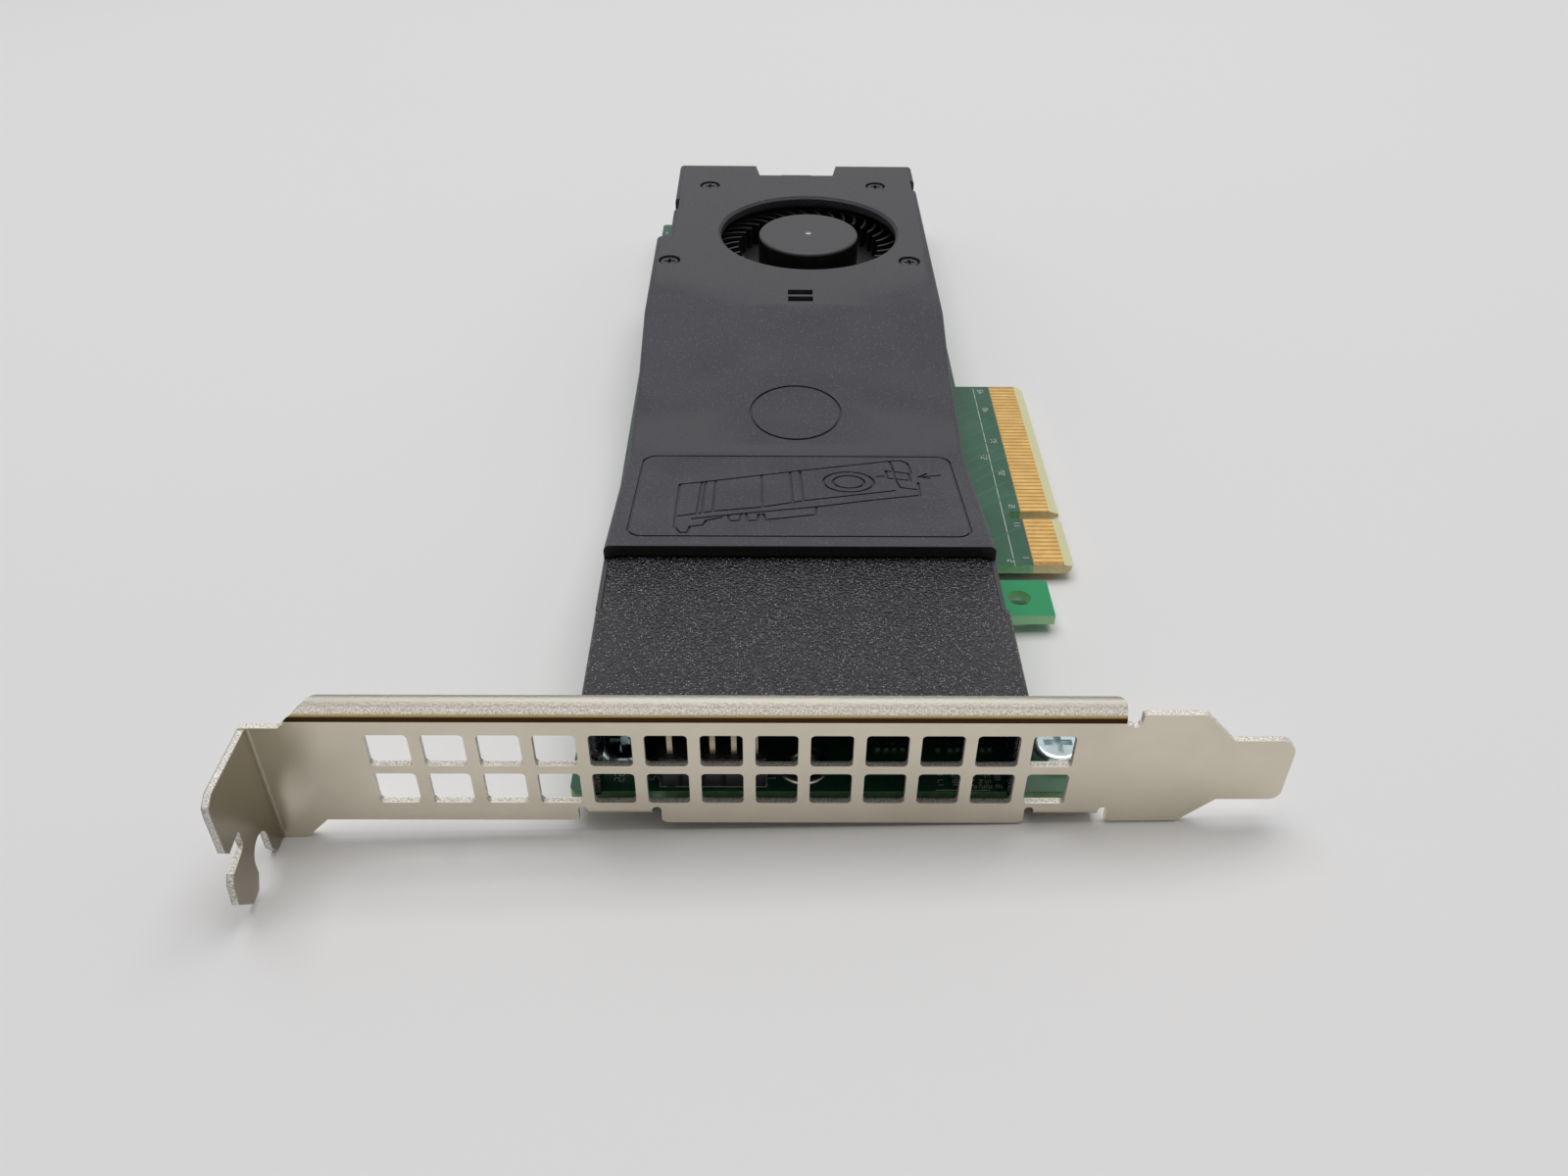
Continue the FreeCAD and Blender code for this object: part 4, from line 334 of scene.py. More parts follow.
# How level a face has to be for its tone to begin and to end its change: painted light on the
# cover's level top, painted shade on the fold's level top.
DECK_LIGHT_TURN = {"Low": 0.9975, "High": 0.9995}
FOLD_SHADE_TURN = {"Low": 0.74, "High": 0.92}


# ------------------------------------------------------------------- finishes
GRAIN_RANGE = (0.4, 1.3)                 # heights of the leather grain, low to high
METAL_PATCH, METAL_GRAIN, METAL_TOOTH = 3 * MM, 0.15 * MM, 0.002 * MM


def start_finish(name, metal=0.0, gloss=0.5, coat=0.0):
    material = bpy.data.materials.new(name)
    material.use_nodes = True
    tree = material.node_tree
    tree.nodes.clear()
    shader = put(tree, "BsdfPrincipled")
    shader.inputs["Metallic"].default_value = metal
    shader.inputs["Specular IOR Level"].default_value = gloss
    shader.inputs["Coat Weight"].default_value = coat
    output = put(tree, "OutputMaterial")
    tree.links.new(shader.outputs[0], output.inputs["Surface"])
    return material, tree, shader


def raise_surface(tree, shader, height, depth, strength=1.0):
    bump = put(tree, "Bump")
    feed(tree, bump.inputs["Height"], height)
    feed(tree, bump.inputs["Distance"], depth)
    feed(tree, bump.inputs["Strength"], strength)
    tree.links.new(bump.outputs[0], shader.inputs["Normal"])


def moulded(name, dark, light, rough, cell, depth, patch=4 * MM, glint_specks=None, gloss=0.5,
            front=None, deck_light=None):
    """Moulded plastic: leather grain, two close tones and now and then a pale speck, a painted
    glint.

    A thin front lip that ends at the line at front is painted deep black as shade, and level
    faces take a lighter tone as painted light.
    """
    material, tree, shader = start_finish(name, gloss=gloss)
    colour = between(tree, mottled(tree, patch), dark, light)
    # Painted highlights: pale specks stand in for the glints of the grain.
    if glint_specks:
        size, share, pale = glint_specks
        dots = use_group(tree, SPECKS, Size=size, Share=share)["Mask"]
        colour = between(tree, dots, colour, pale)
    # Painted light: level faces are painted a lighter tone, as if lit from above.
    if deck_light is not None:
        level = use_group(tree, FACING, **DECK_LIGHT_TURN)["Level"]
        colour = between(tree, level, colour, deck_light)
    # Painted shade: the thin strip just behind the front line is painted deep black.
    if front is not None:
        lip = mask_inside(tree, ANYWHERE, (front - LIP_SHADE_STRIP, front))
        colour = between(tree, lip, colour, LIP_SHADE_BLACK)
    feed(tree, shader.inputs["Base Color"], colour)
    height = use_group(tree, GRAIN, Cell=cell)["Height"]
    feed(tree, shader.inputs["Roughness"],
         spread(tree, height, *GRAIN_RANGE, rough[1], rough[0]))
    raise_surface(tree, shader, height, depth)
    return material


def plated(name, dark, light, rough):
    """Plated or bare metal with faint patches and a fine tooth."""
    material, tree, shader = start_finish(name, metal=1.0)
    mask = mottled(tree, METAL_PATCH)
    feed(tree, shader.inputs["Base Color"], between(tree, mask, dark, light))
    feed(tree, shader.inputs["Roughness"], spread(tree, mask, 0.0, 1.0, *rough))
    raise_surface(tree, shader, mottled(tree, METAL_GRAIN), METAL_TOOTH)
    return material


def folded_part(tree):
    """1 on the bracket's bent-back upper edge."""
    high = mask_where(tree, "Z", "GREATER_THAN", FOLD_LOW * MM)
    return reckon(tree, "MULTIPLY", high, mask_where(tree, "X", "LESS_THAN", FOLD_END * MM))


def sheared_edges(tree, fold):
    """1 on the sheet's punched edges, which are rough from the die."""
    near, far = (SHEET_FRONT + EDGE_INSET) * MM, (SHEET_FRONT + SHEET - EDGE_INSET) * MM
    face = mask_inside(tree, ANYWHERE, (near, far))
    above_tabs = mask_where(tree, "Z", "GREATER_THAN", TABS_TOP * MM)
    flat = reckon(tree, "MULTIPLY", reckon(tree, "MULTIPLY", face, above_tabs),
                  reckon(tree, "SUBTRACT", 1.0, fold))
    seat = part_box("bracket")[0][0] + SHEET * MM
    flange = mask_inside(tree, (seat - (SHEET - EDGE_INSET) * MM, seat - EDGE_INSET * MM),
                         (-AFAR, (SHEET_FRONT - FLANGE_BEND) * MM))
    return reckon(tree, "MAXIMUM", flat, flange)


def sheet_nickel(name):
    """Nickel-plated sheet: satin and warm, grainy where it is bent or cut."""
    material, tree, shader = start_finish(name, metal=1.0)
    grit = mottled(tree, NICKEL_GRIT)
    fold = folded_part(tree)
    cut_edge = sheared_edges(tree, fold)
    sheet = between(tree, mottled(tree, NICKEL_PATCH), *NICKEL_TONES)
    # Painted shade: the flange in front of the outer face is painted darker than the rest of
    # the sheet.
    flange = mask_inside(tree, ANYWHERE, (-AFAR, (SHEET_FRONT - FACE_SKIN) * MM))
    sheet = between(tree, flange, sheet, FLANGE_SHADE_TONE)
    worked = between(tree, grit, *WORKED_TONES)
    # Painted shade: the fold's level top is painted darker, which dulls the lamp's highlight
    # there.
    level = use_group(tree, FACING, **FOLD_SHADE_TURN)["Level"]
    worked = between(tree, level, worked, FOLD_TOP_SHADE)
    height = axes_of(tree, place_of(tree))["Z"]
    # Painted reflections: a dark brown line at the foot of the fold and a gold line above it.
    for reflection_tint, first, last in CREASE_REFLECTION_TINTS:
        near = spread(tree, height, (FOLD_LOW + first) * MM, (FOLD_LOW + last) * MM, 1.0, 0.0)
        worked = between(tree, near, worked, reflection_tint)
    sheet = between(tree, fold, sheet, worked)
    shorn = between(tree, grit, *SHORN_TONES)
    feed(tree, shader.inputs["Base Color"], between(tree, cut_edge, sheet, shorn))
    feed(tree, shader.inputs["Metallic"], spread(tree, cut_edge, 0.0, 1.0, 1.0, SHORN_METAL))
    lines = use_group(tree, BRUSHING, Size=BRUSHED_LINES)["Height"]
    rough = spread(tree, lines, *BRUSHED_RANGE, *SATIN_ROUGHNESS)
    rough = spread(tree, fold, 0.0, 1.0, rough, FOLD_ROUGHNESS)
    rough = spread(tree, cut_edge, 0.0, 1.0, rough, SHORN_ROUGHNESS)
    feed(tree, shader.inputs["Roughness"], rough)
    worked_parts = reckon(tree, "MAXIMUM", fold, cut_edge)
    share = spread(tree, worked_parts, 0.0, 1.0, FLAT_TOOTH, 1.0)
    tooth = reckon(tree, "MULTIPLY", grit, share)
    raise_surface(tree, shader, tooth, TOOTH_DEPTH, TOOTH_STRENGTH)
    return material


def solder_mask(name):
    """The board: green mask over copper, lighter ears, bare laminate at its edges."""
    material, tree, shader = start_finish(name, gloss=0.4, coat=0.05)
    fine = mottled(tree, WEAVE)
    mask = between(tree, mottled(tree, MASK_PATCH), *MASK_GREENS)
    ear = mask_inside(tree, (EARS_FROM, AFAR), (SCREW_EAR_END, PALE_EAR_END))
    mask = between(tree, ear, mask, PALE_EAR_GREEN)
    board_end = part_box("circuit_board")[0][1] - MM
    screw_ear = mask_inside(tree, (EARS_FROM, AFAR), (board_end, SCREW_EAR_END))
    mask = between(tree, screw_ear, mask, SCREW_EAR_GREEN)
    bare = mask_inside(tree, (FINGERS_FROM, AFAR), (TAB_START, AFAR))
    face = between(tree, bare, mask, between(tree, fine, *LAMINATE_TONES))
    bevel = mask_where(tree, "X", "GREATER_THAN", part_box("contact_fingers_top")[1][0])
    face = between(tree, bevel, face, BEVEL_TONE)
    edge = between(tree, ear, between(tree, fine, *EDGE_GREENS), EAR_EDGE_GREEN)
    edge = between(tree, bare, edge, between(tree, fine, *TAB_EDGE_TONES))
    level = use_group(tree, FACING)["Level"]
    feed(tree, shader.inputs["Base Color"], between(tree, level, edge, face))
    feed(tree, shader.inputs["Roughness"], spread(tree, fine, 0.0, 1.0, *MASK_ROUGHNESS))
    raise_surface(tree, shader, mottled(tree, MASK_WAVES), WAVE_DEPTH, WAVE_STRENGTH)
    return material


def hub_plastic(name):
    """The impeller's satin black, with the pale mark of its moulding gate, and painted shade
    on its upright sides and its blades.
    """
    material, tree, shader = start_finish(name)
    low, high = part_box("impeller")
    axes = axes_of(tree, place_of(tree))
    across = reckon(tree, "SUBTRACT", axes["X"], (low[0] + high[0]) / 2.0)
    along = reckon(tree, "SUBTRACT", axes["Y"], (low[1] + high[1]) / 2.0)
    square = reckon(tree, "ADD", reckon(tree, "MULTIPLY", across, across),
                    reckon(tree, "MULTIPLY", along, along))
    reach = reckon(tree, "SQRT", square)
    gate = reckon(tree, "LESS_THAN", reach, GATE_RADIUS)
    blades = reckon(tree, "GREATER_THAN", reach, HUB_RADIUS)
    mask = mottled(tree, HUB_PATCH)
    body = between(tree, mask, *HUB_TONES)
    # Painted shade: the hub's upright faces and the blades past its radius are painted near
    # black.
    level = use_group(tree, FACING)["Level"]
    body = between(tree, level, HUB_SIDE_SHADE, body)
    body = between(tree, blades, body, BLADE_SHADE)
    feed(tree, shader.inputs["Base Color"], between(tree, gate, body, GATE_TONE))
    feed(tree, shader.inputs["Roughness"], spread(tree, mask, 0.0, 1.0, *HUB_ROUGHNESS))
    raise_surface(tree, shader, mottled(tree, HUB_GRAIN), HUB_GRAIN_DEPTH,
                  HUB_GRAIN_STRENGTH)
    return material


# Metals: the finish's name, its dark and light tones and its roughness.
METALS = {
    "gold_plating": ("gold_plate", tone(223, 184, 113), tone(233, 197, 127), (0.30, 0.40)),
    "zinc_screw": ("bright_zinc", tone(198, 211, 214), tone(210, 222, 226), (0.16, 0.26)),
    "black_screw": ("black_oxide", tone(65, 65, 68), tone(87, 87, 90), (0.38, 0.5)),
    "hard_steel": ("ground_steel", tone(206, 206, 206), tone(218, 218, 216), (0.14, 0.22)),
    "bronze": ("oiled_bronze", tone(168, 128, 80), tone(184, 142, 92), (0.34, 0.46)),
    "copper_wire": ("enamelled_copper", tone(176, 104, 62), tone(196, 122, 74), (0.22, 0.34)),
    "tinned_brass": ("tin_plate", tone(204, 203, 198), tone(220, 219, 214), (0.24, 0.36)),
}

# Plastics and ceramics: the same, and the cell and depth of their grain.
PLASTICS = {
    "black_blower": ("blower_black", tone(53, 53, 58), tone(64, 64, 68), (0.42, 0.55),
                     0.35 * MM, 0.015 * MM),
    "ferrite": ("pressed_ferrite", tone(96, 97, 100), tone(112, 112, 114), (0.55, 0.7),
                0.3 * MM, 0.012 * MM),
    "white_plastic": ("white_ink", tone(208, 208, 198), tone(222, 222, 214), (0.5, 0.62),
                      0.2 * MM, 0.004 * MM),
    "black_socket": ("socket_black", tone(50, 50, 53), tone(59, 59, 62), (0.45, 0.58),
                     0.25 * MM, 0.008 * MM),
    "chip_plastic": ("chip_epoxy", tone(65, 65, 68), tone(77, 77, 81), (0.5, 0.62),
                     0.18 * MM, 0.006 * MM),
    "capacitor_ceramic": ("fired_ceramic", tone(158, 128, 92), tone(176, 146, 108),
                          (0.34, 0.44), 0.2 * MM, 0.003 * MM),
    "resistor_body": ("glazed_resistor", tone(59, 59, 65), tone(74, 74, 81), (0.28, 0.38),
                      0.2 * MM, 0.002 * MM),
}


def make_finishes():
    """A finish for each of the record's material slots."""
    finishes = {slot: plated(*values) for slot, values in METALS.items()}
    for slot, values in PLASTICS.items():
        finishes[slot] = moulded(*values)
    finishes["board_laminate"] = solder_mask("green_solder_mask")
    finishes["nickel_sheet"] = sheet_nickel("satin_nickel_sheet")
    finishes["black_impeller"] = hub_plastic("impeller_black")
    # The cover: pale specks painted as glints, a level top painted lighter as light and a
    # front strip painted deep black as shade.
    finishes["black_cover"] = moulded(
        "cover_black", tone(52, 52, 59), tone(61, 61, 68), (0.42, 0.60), cell=0.34 * MM,
        depth=0.032 * MM, patch=9 * MM, glint_specks=(0.30 * MM, 0.16, tone(105, 105, 116)),
        gloss=0.36, front=COVER_LIP, deck_light=tone(68, 68, 73))
    # The duct: pale specks painted as glints on its coarse grain.
    finishes["black_duct"] = moulded(
        "duct_black", tone(19, 19, 25), tone(26, 26, 32), (0.12, 0.34), cell=0.36 * MM,
        depth=0.19 * MM, patch=6 * MM, glint_specks=(0.27 * MM, 0.26, tone(158, 158, 170)),
        gloss=0.44)
    return finishes


FINISHES = make_finishes()
PIN_GILDING = plated("pin_gilding", tone(232, 216, 184), tone(240, 228, 200), (0.42, 0.52))
COVERED_COPPER = moulded("copper_under_mask", tone(52, 110, 84), tone(60, 122, 94),
                         (0.30, 0.42), 0.4 * MM, 0.002 * MM)
OWN_FINISHES = {"header_pins": PIN_GILDING}


def dress_nodes():
    for name, item in NODES.items():
        finish = OWN_FINISHES.get(name) or FINISHES[SLOT_OF[name]]
        if not item.material_slots:
            item.data.materials.append(finish)
        for place in item.material_slots:
            place.material = finish


# ---------------------------------------------------------------- mesh helpers
DOUBLES = 0.0005 * MM                    # points closer than this are one
SAME_FACE, SHARP_EDGE = 0.4, 30.0        # angles between faces, in degrees
EDGE_BREAKS = {"bracket": 0.10 * MM, "top_cover": 0.10 * MM, "outlet_duct": 0.12 * MM}


def add_piece(name, mesh, slot, finish=None, body=CARD, stands_for=()):
    """A finished mesh becomes a piece of the card."""
    item = new_object(name, mesh)
    mesh.materials.clear()
    mesh.materials.append(finish or FINISHES[slot])
    if stands_for:
        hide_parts(*stands_for)
    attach(item, body)


def mesh_of(shape, name):
    """The shape as a named mesh; the shape itself is let go."""
    mesh = bpy.data.meshes.new(name)
    shape.to_mesh(mesh)
    shape.free()
    return mesh


def evaluated_mesh(holder):
    """The holder's mesh with its modifiers applied; the holder itself is removed."""
    graph = bpy.context.evaluated_depsgraph_get()
    mesh = bpy.data.meshes.new_from_object(holder.evaluated_get(graph))
    bpy.data.objects.remove(holder)
    return mesh


def merged_shape(node):
    """The node's shape with its doubles merged."""
    shape = bmesh.new()
    shape.from_mesh(NODES[node].data)
    bmesh.ops.remove_doubles(shape, verts=shape.verts, dist=DOUBLES)
    return shape


def joined_copy(node):
    """The node's mesh with its flat faces joined."""
    shape = merged_shape(node)
    bmesh.ops.dissolve_limit(shape, angle_limit=math.radians(SAME_FACE), verts=shape.verts,
                             edges=shape.edges)
    mesh = mesh_of(shape, node)
    for layer in ("custom_normal", "sharp_face", "sharp_edge"):
        if layer in mesh.attributes:
            mesh.attributes.remove(mesh.attributes[layer])
    mesh.shade_smooth()
    return mesh


def softened(node, width):
    """The node's shape with its sharp edges broken, as on the real piece."""
    holder = new_object("holder", joined_copy(node))
    bevel = holder.modifiers.new("edge_break", "BEVEL")
    for name, value in (("width", width), ("segments", 2), ("limit_method", "ANGLE"),
                        ("angle_limit", math.radians(SHARP_EDGE)), ("harden_normals", True),
                        ("use_clamp_overlap", True), ("miter_outer", "MITER_ARC")):
        setattr(bevel, name, value)
    return evaluated_mesh(holder)


def soften_main_pieces():
    for node, width in EDGE_BREAKS.items():
        add_piece(node + "_finished", softened(node, width), SLOT_OF[node],
                  stands_for=(node,))


# ---------------------------------------------------------- repeated shapes
BEAD_SIDES, BEAD_RINGS = 12, 7


def start_tree(name, sizes):
    """A Geometry Nodes tree with named sizes; its object's own points are the places."""
    tree = bpy.data.node_groups.new(name, "GeometryNodeTree")
    for label, kind in (("Points", "Geometry"), *sizes, ("Finish", "Material")):
        tree.interface.new_socket(label, in_out="INPUT", socket_type="NodeSocket" + kind)
    tree.interface.new_socket("Geometry", in_out="OUTPUT", socket_type="NodeSocketGeometry")
    return tree, tree.nodes.new("NodeGroupInput").outputs


def grow(tree, kind, **values):
    node = tree.nodes.new("GeometryNode" + kind)
    for name, value in values.items():
        feed(tree, node.inputs[name.replace("_", " ")], value)
    return node


def end_tree(tree, given, shape):
    """The shape on every point, made plain mesh, with its finish."""
    rows = grow(tree, "InstanceOnPoints", Points=given["Points"], Instance=shape)
    real = grow(tree, "RealizeInstances", Geometry=rows.outputs[0])
    dressed = grow(tree, "SetMaterial", Geometry=real.outputs[0], Material=given["Finish"])
    tree.links.new(dressed.outputs[0], tree.nodes.new("NodeGroupOutput").inputs[0])
    return tree


def make_ring_tree():
    """Low rounded rings, such as the plating and solder round holes."""
    tree, given = start_tree("plated_rings", (("Radius", "Float"), ("Width", "Float"),
                                              ("Flatness", "Vector"), ("Sides", "Int"),
                                              ("Steps", "Int")))
    circle = grow(tree, "CurvePrimitiveCircle", Resolution=given["Sides"],
                  Radius=given["Radius"])
    outline = grow(tree, "CurvePrimitiveCircle", Resolution=given["Steps"],
                   Radius=given["Width"])
    ring = grow(tree, "CurveToMesh", Curve=circle.outputs[0], Profile_Curve=outline.outputs[0])
    flat = grow(tree, "Transform", Geometry=ring.outputs[0], Scale=given["Flatness"])
    return end_tree(tree, given, flat.outputs[0])


def make_cap_tree():
    """Blocks, such as the ends of chip parts."""
    tree, given = start_tree("end_caps", (("Size", "Vector"),))
    block = grow(tree, "MeshCube", Size=given["Size"])
    return end_tree(tree, given, block.outputs[0])


def make_bead_tree():
    """Flattened beads, such as solder joints."""
    tree, given = start_tree("solder_beads", (("Radius", "Float"), ("Flatness", "Vector")))
    bead = grow(tree, "MeshUVSphere", Segments=BEAD_SIDES, Rings=BEAD_RINGS,
                Radius=given["Radius"])
    flat = grow(tree, "Transform", Geometry=bead.outputs[0], Scale=given["Flatness"])
    return end_tree(tree, given, flat.outputs[0])


RING_TREE = make_ring_tree()
CAP_TREE = make_cap_tree()
BEAD_TREE = make_bead_tree()


def grow_rows(name, points, tree, sizes, slot):
    """One piece with the tree's shape on every point."""
    mesh = bpy.data.meshes.new(name)
    mesh.from_pydata(points, [], [])
    holder = new_object(name + "_places", mesh)
    modifier = holder.modifiers.new("rows", "NODES")
    modifier.node_group = tree
    sizes = {**sizes, "Finish": FINISHES[slot]}
    for item in tree.interface.items_tree:
        if item.name in sizes:
            modifier[item.identifier] = sizes[item.name]
    add_piece(name, evaluated_mesh(holder), slot)


# ------------------------------------------------------------- flat markings
FILM = 0.02 * MM
BOARD_TOP = 0.0
BOARD_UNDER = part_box("circuit_board")[0][2]
SHARPEST_TURN = 0.3                      # limits how far a corner's point moves out
PLAIN_INK, CIRCLE_SIDES = 0.15, 36       # a width in mm, and a count


def offset_line(points, distance):
    """The line moved sideways by a distance, with its corners kept."""
    moved = []
    last = len(points) - 1
    for index, point in enumerate(points):
        before = (point - points[index - 1]) if index else None
        after = (points[index + 1] - point) if index < last else None
        before, after = (before or after).normalized(), (after or before).normalized()
        middle = (before + after).normalized()
        side = Vector((-middle.y, middle.x))
        moved.append(point + side * distance / max(SHARPEST_TURN, middle.dot(after)))
    return moved


def add_ribbon(shape, points, width, under=False):
    """A closed flat ribbon of ink or copper on the board, top or underneath."""
    surface = BOARD_UNDER if under else BOARD_TOP
    out = -FILM if under else FILM
    left, right = offset_line(points, width / 2.0), offset_line(points, -width / 2.0)
    sections = []
    for a, b in zip(left, right):
        sections.append([shape.verts.new((side.x, side.y, height))
                         for side, height in ((a, surface - out), (a, surface + out),
                                              (b, surface + out), (b, surface - out))])
    for here, there in zip(sections, sections[1:]):
        for index in range(4):
            following = (index + 1) % 4
            shape.faces.new((here[index], here[following], there[following], there[index]))
    shape.faces.new(reversed(sections[0]))
    shape.faces.new(sections[-1])


def ribbons(name, lines, slot, finish=None):
    """One piece of many ribbons: each line is points in mm, a width in mm and its side."""
    shape = bmesh.new()
    for points, width, under in lines:
        add_ribbon(shape, [Vector(point) * MM for point in points], width * MM, under)
    bmesh.ops.recalc_face_normals(shape, faces=shape.faces)
    add_piece(name, mesh_of(shape, name), slot, finish)


# Strokes of each digit, in a box half as wide as it is high.
STROKE_ENDS = {"a": ((0, 1), (0.5, 1)), "b": ((0.5, 1), (0.5, 0.5)),
               "c": ((0.5, 0.5), (0.5, 0)), "d": ((0, 0), (0.5, 0)),
               "e": ((0, 0.5), (0, 0)), "f": ((0, 1), (0, 0.5)),
               "g": ((0, 0.5), (0.5, 0.5))}
DIGITS = {"0": "abcdef", "1": "bc", "2": "abged", "3": "abgcd", "4": "fgbc", "5": "afgcd",
          "6": "afgecd", "7": "abc", "8": "abcdefg", "9": "abfgcd"}


def number_lines(number, x, y, height, width, under=False, pitch=0.8, spread_out=1.0):
    """A number read along the card, its foot towards the edge connector.

    Pitch is the step between digits and spread_out widens each one, both by its height.
    """
    lines = []
    forward = -1.0 if under else 1.0
    for index, digit in enumerate(number):
        for stroke in DIGITS[digit]:
            ends = [(x - high * height,
                     y + forward * (pitch * index + across * spread_out) * height)
                    for across, high in STROKE_ENDS[stroke]]
            lines.append((ends, width, under))
    return lines


def frame_lines(x0, y0, x1, y1, under=False):
    """A rectangle of lines between two corners in mm."""
    corners = [(x0, y0), (x1, y0), (x1, y1), (x0, y1), (x0, y0)]
    return [(ends, PLAIN_INK, under) for ends in zip(corners, corners[1:])]


def circle_line(x, y, radius, under=False):
    turns = [math.tau * index / CIRCLE_SIDES for index in range(CIRCLE_SIDES + 1)]
    points = [(x + radius * math.cos(turn), y + radius * math.sin(turn)) for turn in turns]
    return [(points, PLAIN_INK, under)]


# -------------------------------------------------------------- board's print
# Each number with its place in mm: X and Y of its foot, for the resistors only X.
FINGER_NUMBERS = (("49", -7.2, 37.2), ("40", -7.1, 31.0), ("30", -7.0, 20.8),
                  ("23", -9.3, 15.9), ("20", -7.0, 11.2), ("12", -6.7, 1.6),
                  ("11", -6.6, -3.3), ("1", -6.5, -11.3), ("2", -8.9, -11.9))
WINDOW_NUMBERS = (("22", -62.6, -55.6), ("5", -58.4, -55.3), ("1", -56.2, -57.0),
                  ("1", -44.2, -55.6))
RESISTOR_NUMBERS = (("171", -23.9), ("182", -22.1), ("215", -20.0), ("241", -19.0),
                    ("253", -18.15), ("318", -16.95))
UNDER_NUMBERS = (("1", -7.0, -10.4), ("49", -7.0, 38.4), ("3", -60.0, -30.0),
                 ("14", -40.0, 96.0), ("7", -22.0, 70.0), ("26", -63.0, 40.0))
WINDOW_LINE = ((-24.9, -56.95), (-18.4, -56.95))
KEEP_OUT_LINE = ((-8.85, 38.8), (-8.85, -11.0))
UNDER_FRAMES = ((-62.4, -45.0, -19.6, -37.0), (-62.4, 86.0, -44.0, 103.0))

# Sizes of the print, in mm.
FINE_INK, WINDOW_INK = 0.10, 0.14
FINGER_DIGITS, WINDOW_DIGITS = (0.9, FINE_INK), (1.1, 0.13)          # height and ink width
RESISTOR_DIGITS, UNDER_DIGITS = (0.62, 0.13), (1.3, PLAIN_INK)
RESISTOR_ROW_Y = -56.6
HEADER_GAP, STANDOFF_RING = 0.07, 3.4
DOTS, DOT_PITCH, DOT_LENGTH = 4, 0.45, 0.22


def header_frame():
    low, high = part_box("pin_header")
    return frame_lines(low[0] / MM - HEADER_GAP, low[1] / MM - HEADER_GAP,
                       high[0] / MM + HEADER_GAP, high[1] / MM + HEADER_GAP)


def print_top():
    lines = [(KEEP_OUT_LINE, FINE_INK, False)]
    for number, x, y in FINGER_NUMBERS:
        lines += number_lines(number, x, y, *FINGER_DIGITS)
    for number, x, y in WINDOW_NUMBERS:
        lines += number_lines(number, x, y, *WINDOW_DIGITS)
    for number, x in RESISTOR_NUMBERS:
        lines += number_lines(number, x, RESISTOR_ROW_Y, *RESISTOR_DIGITS, pitch=1.34,
                              spread_out=1.6)
    lines += header_frame()
    lines.append((WINDOW_LINE, WINDOW_INK, False))
    ribbons("print_top", lines, "white_plastic")
    x, y = KEEP_OUT_LINE[1]
    dots = [(x * MM, (y - DOT_PITCH * step) * MM, BOARD_TOP) for step in range(1, DOTS + 1)]
    grow_rows("print_dots", dots, CAP_TREE,
              {"Size": (WINDOW_INK * MM, DOT_LENGTH * MM, 2.0 * FILM)}, "white_plastic")


def print_under():
    lines = []
    for number, x, y in UNDER_NUMBERS:
        lines += number_lines(number, x, y, *UNDER_DIGITS, under=True)
    for corners in island_boxes("m2_standoffs"):
        middle = middle_of(corners) / MM
        lines += circle_line(middle.x, middle.y, STANDOFF_RING, under=True)
    for corners in UNDER_FRAMES:
        lines += frame_lines(*corners, under=True)
    ribbons("print_under", lines, "white_plastic")


# ------------------------------------------------------------- board's copper
# All in mm: the pairs' traces with their starts along Y and their route from there, and the
# bundles underneath, each with its middle line, its count of traces, their width and pitch.
TRACE, TRACE_PITCH = 0.16, 0.36
PAIR_ROUTE = ((-6.2, 0.0), (-7.2, 0.0), (-14.2, -5.4), (-17.0, -5.4))
PAIR_STARTS = (36.0, 33.0, 29.0, 26.0, 22.0, 19.0, 15.9, 13.0, 9.0, 5.5, -3.5)
UNDER_BUNDLES = (
    (((-7.4, 35.0), (-13.5, 35.0), (-25.0, 23.5), (-25.0, -7.0), (-31.0, -13.0),
      (-31.0, -19.5)), 8, 0.16, 0.42),
    (((-7.4, 25.0), (-13.0, 25.0), (-20.0, 18.0), (-20.0, -19.5)), 8, 0.16, 0.42),
    (((-7.4, 14.5), (-12.5, 14.5), (-15.5, 11.5), (-15.5, -25.0), (-24.0, -33.5),
      (-47.0, -33.5), (-52.0, -28.5), (-52.0, -19.5)), 8, 0.16, 0.42),
    (((-57.0, 101.0), (-57.0, 62.0), (-49.0, 54.0), (-49.0, 14.0)), 4, 0.7, 1.3),
    (((-24.5, 90.0), (-24.5, 62.0), (-16.0, 53.5), (-16.0, 42.0)), 4, 0.18, 0.5),
    (((-57.5, -53.0), (-57.5, -46.5), (-64.0, -40.0), (-64.0, 30.0), (-60.0, 34.0),
      (-60.0, 58.0)), 5, 0.18, 0.5),
)
CLEAR_OF_FINGERS = -14.0
EDGE_VIAS_IN, TAB_VIAS_X = 1.0, -12.9
EDGE_VIAS_Y, TAB_VIAS_Y = range(-50, 108, 6), range(48, 108, 6)
LOOSE_VIAS, LOOSE_VIA_DRAW = 70, 7
LOOSE_VIA_X, LOOSE_VIA_Y = (-66.0, -16.0), (-34.0, 84.0)
VIA_SIZES = {"Radius": 0.21 * MM, "Width": 0.08 * MM, "Flatness": (1.0, 1.0, 0.3),
             "Sides": 10, "Steps": 4}


def top_pairs():
    """Two traces side by side from the contact fingers to the cover."""
    lines = []
    for start in PAIR_STARTS:
        route = [Vector((x, start + shift)) for x, shift in PAIR_ROUTE]
        for side in (-0.5, 0.5):
            lines.append((offset_line(route, side * TRACE_PITCH), TRACE, False))
    return lines


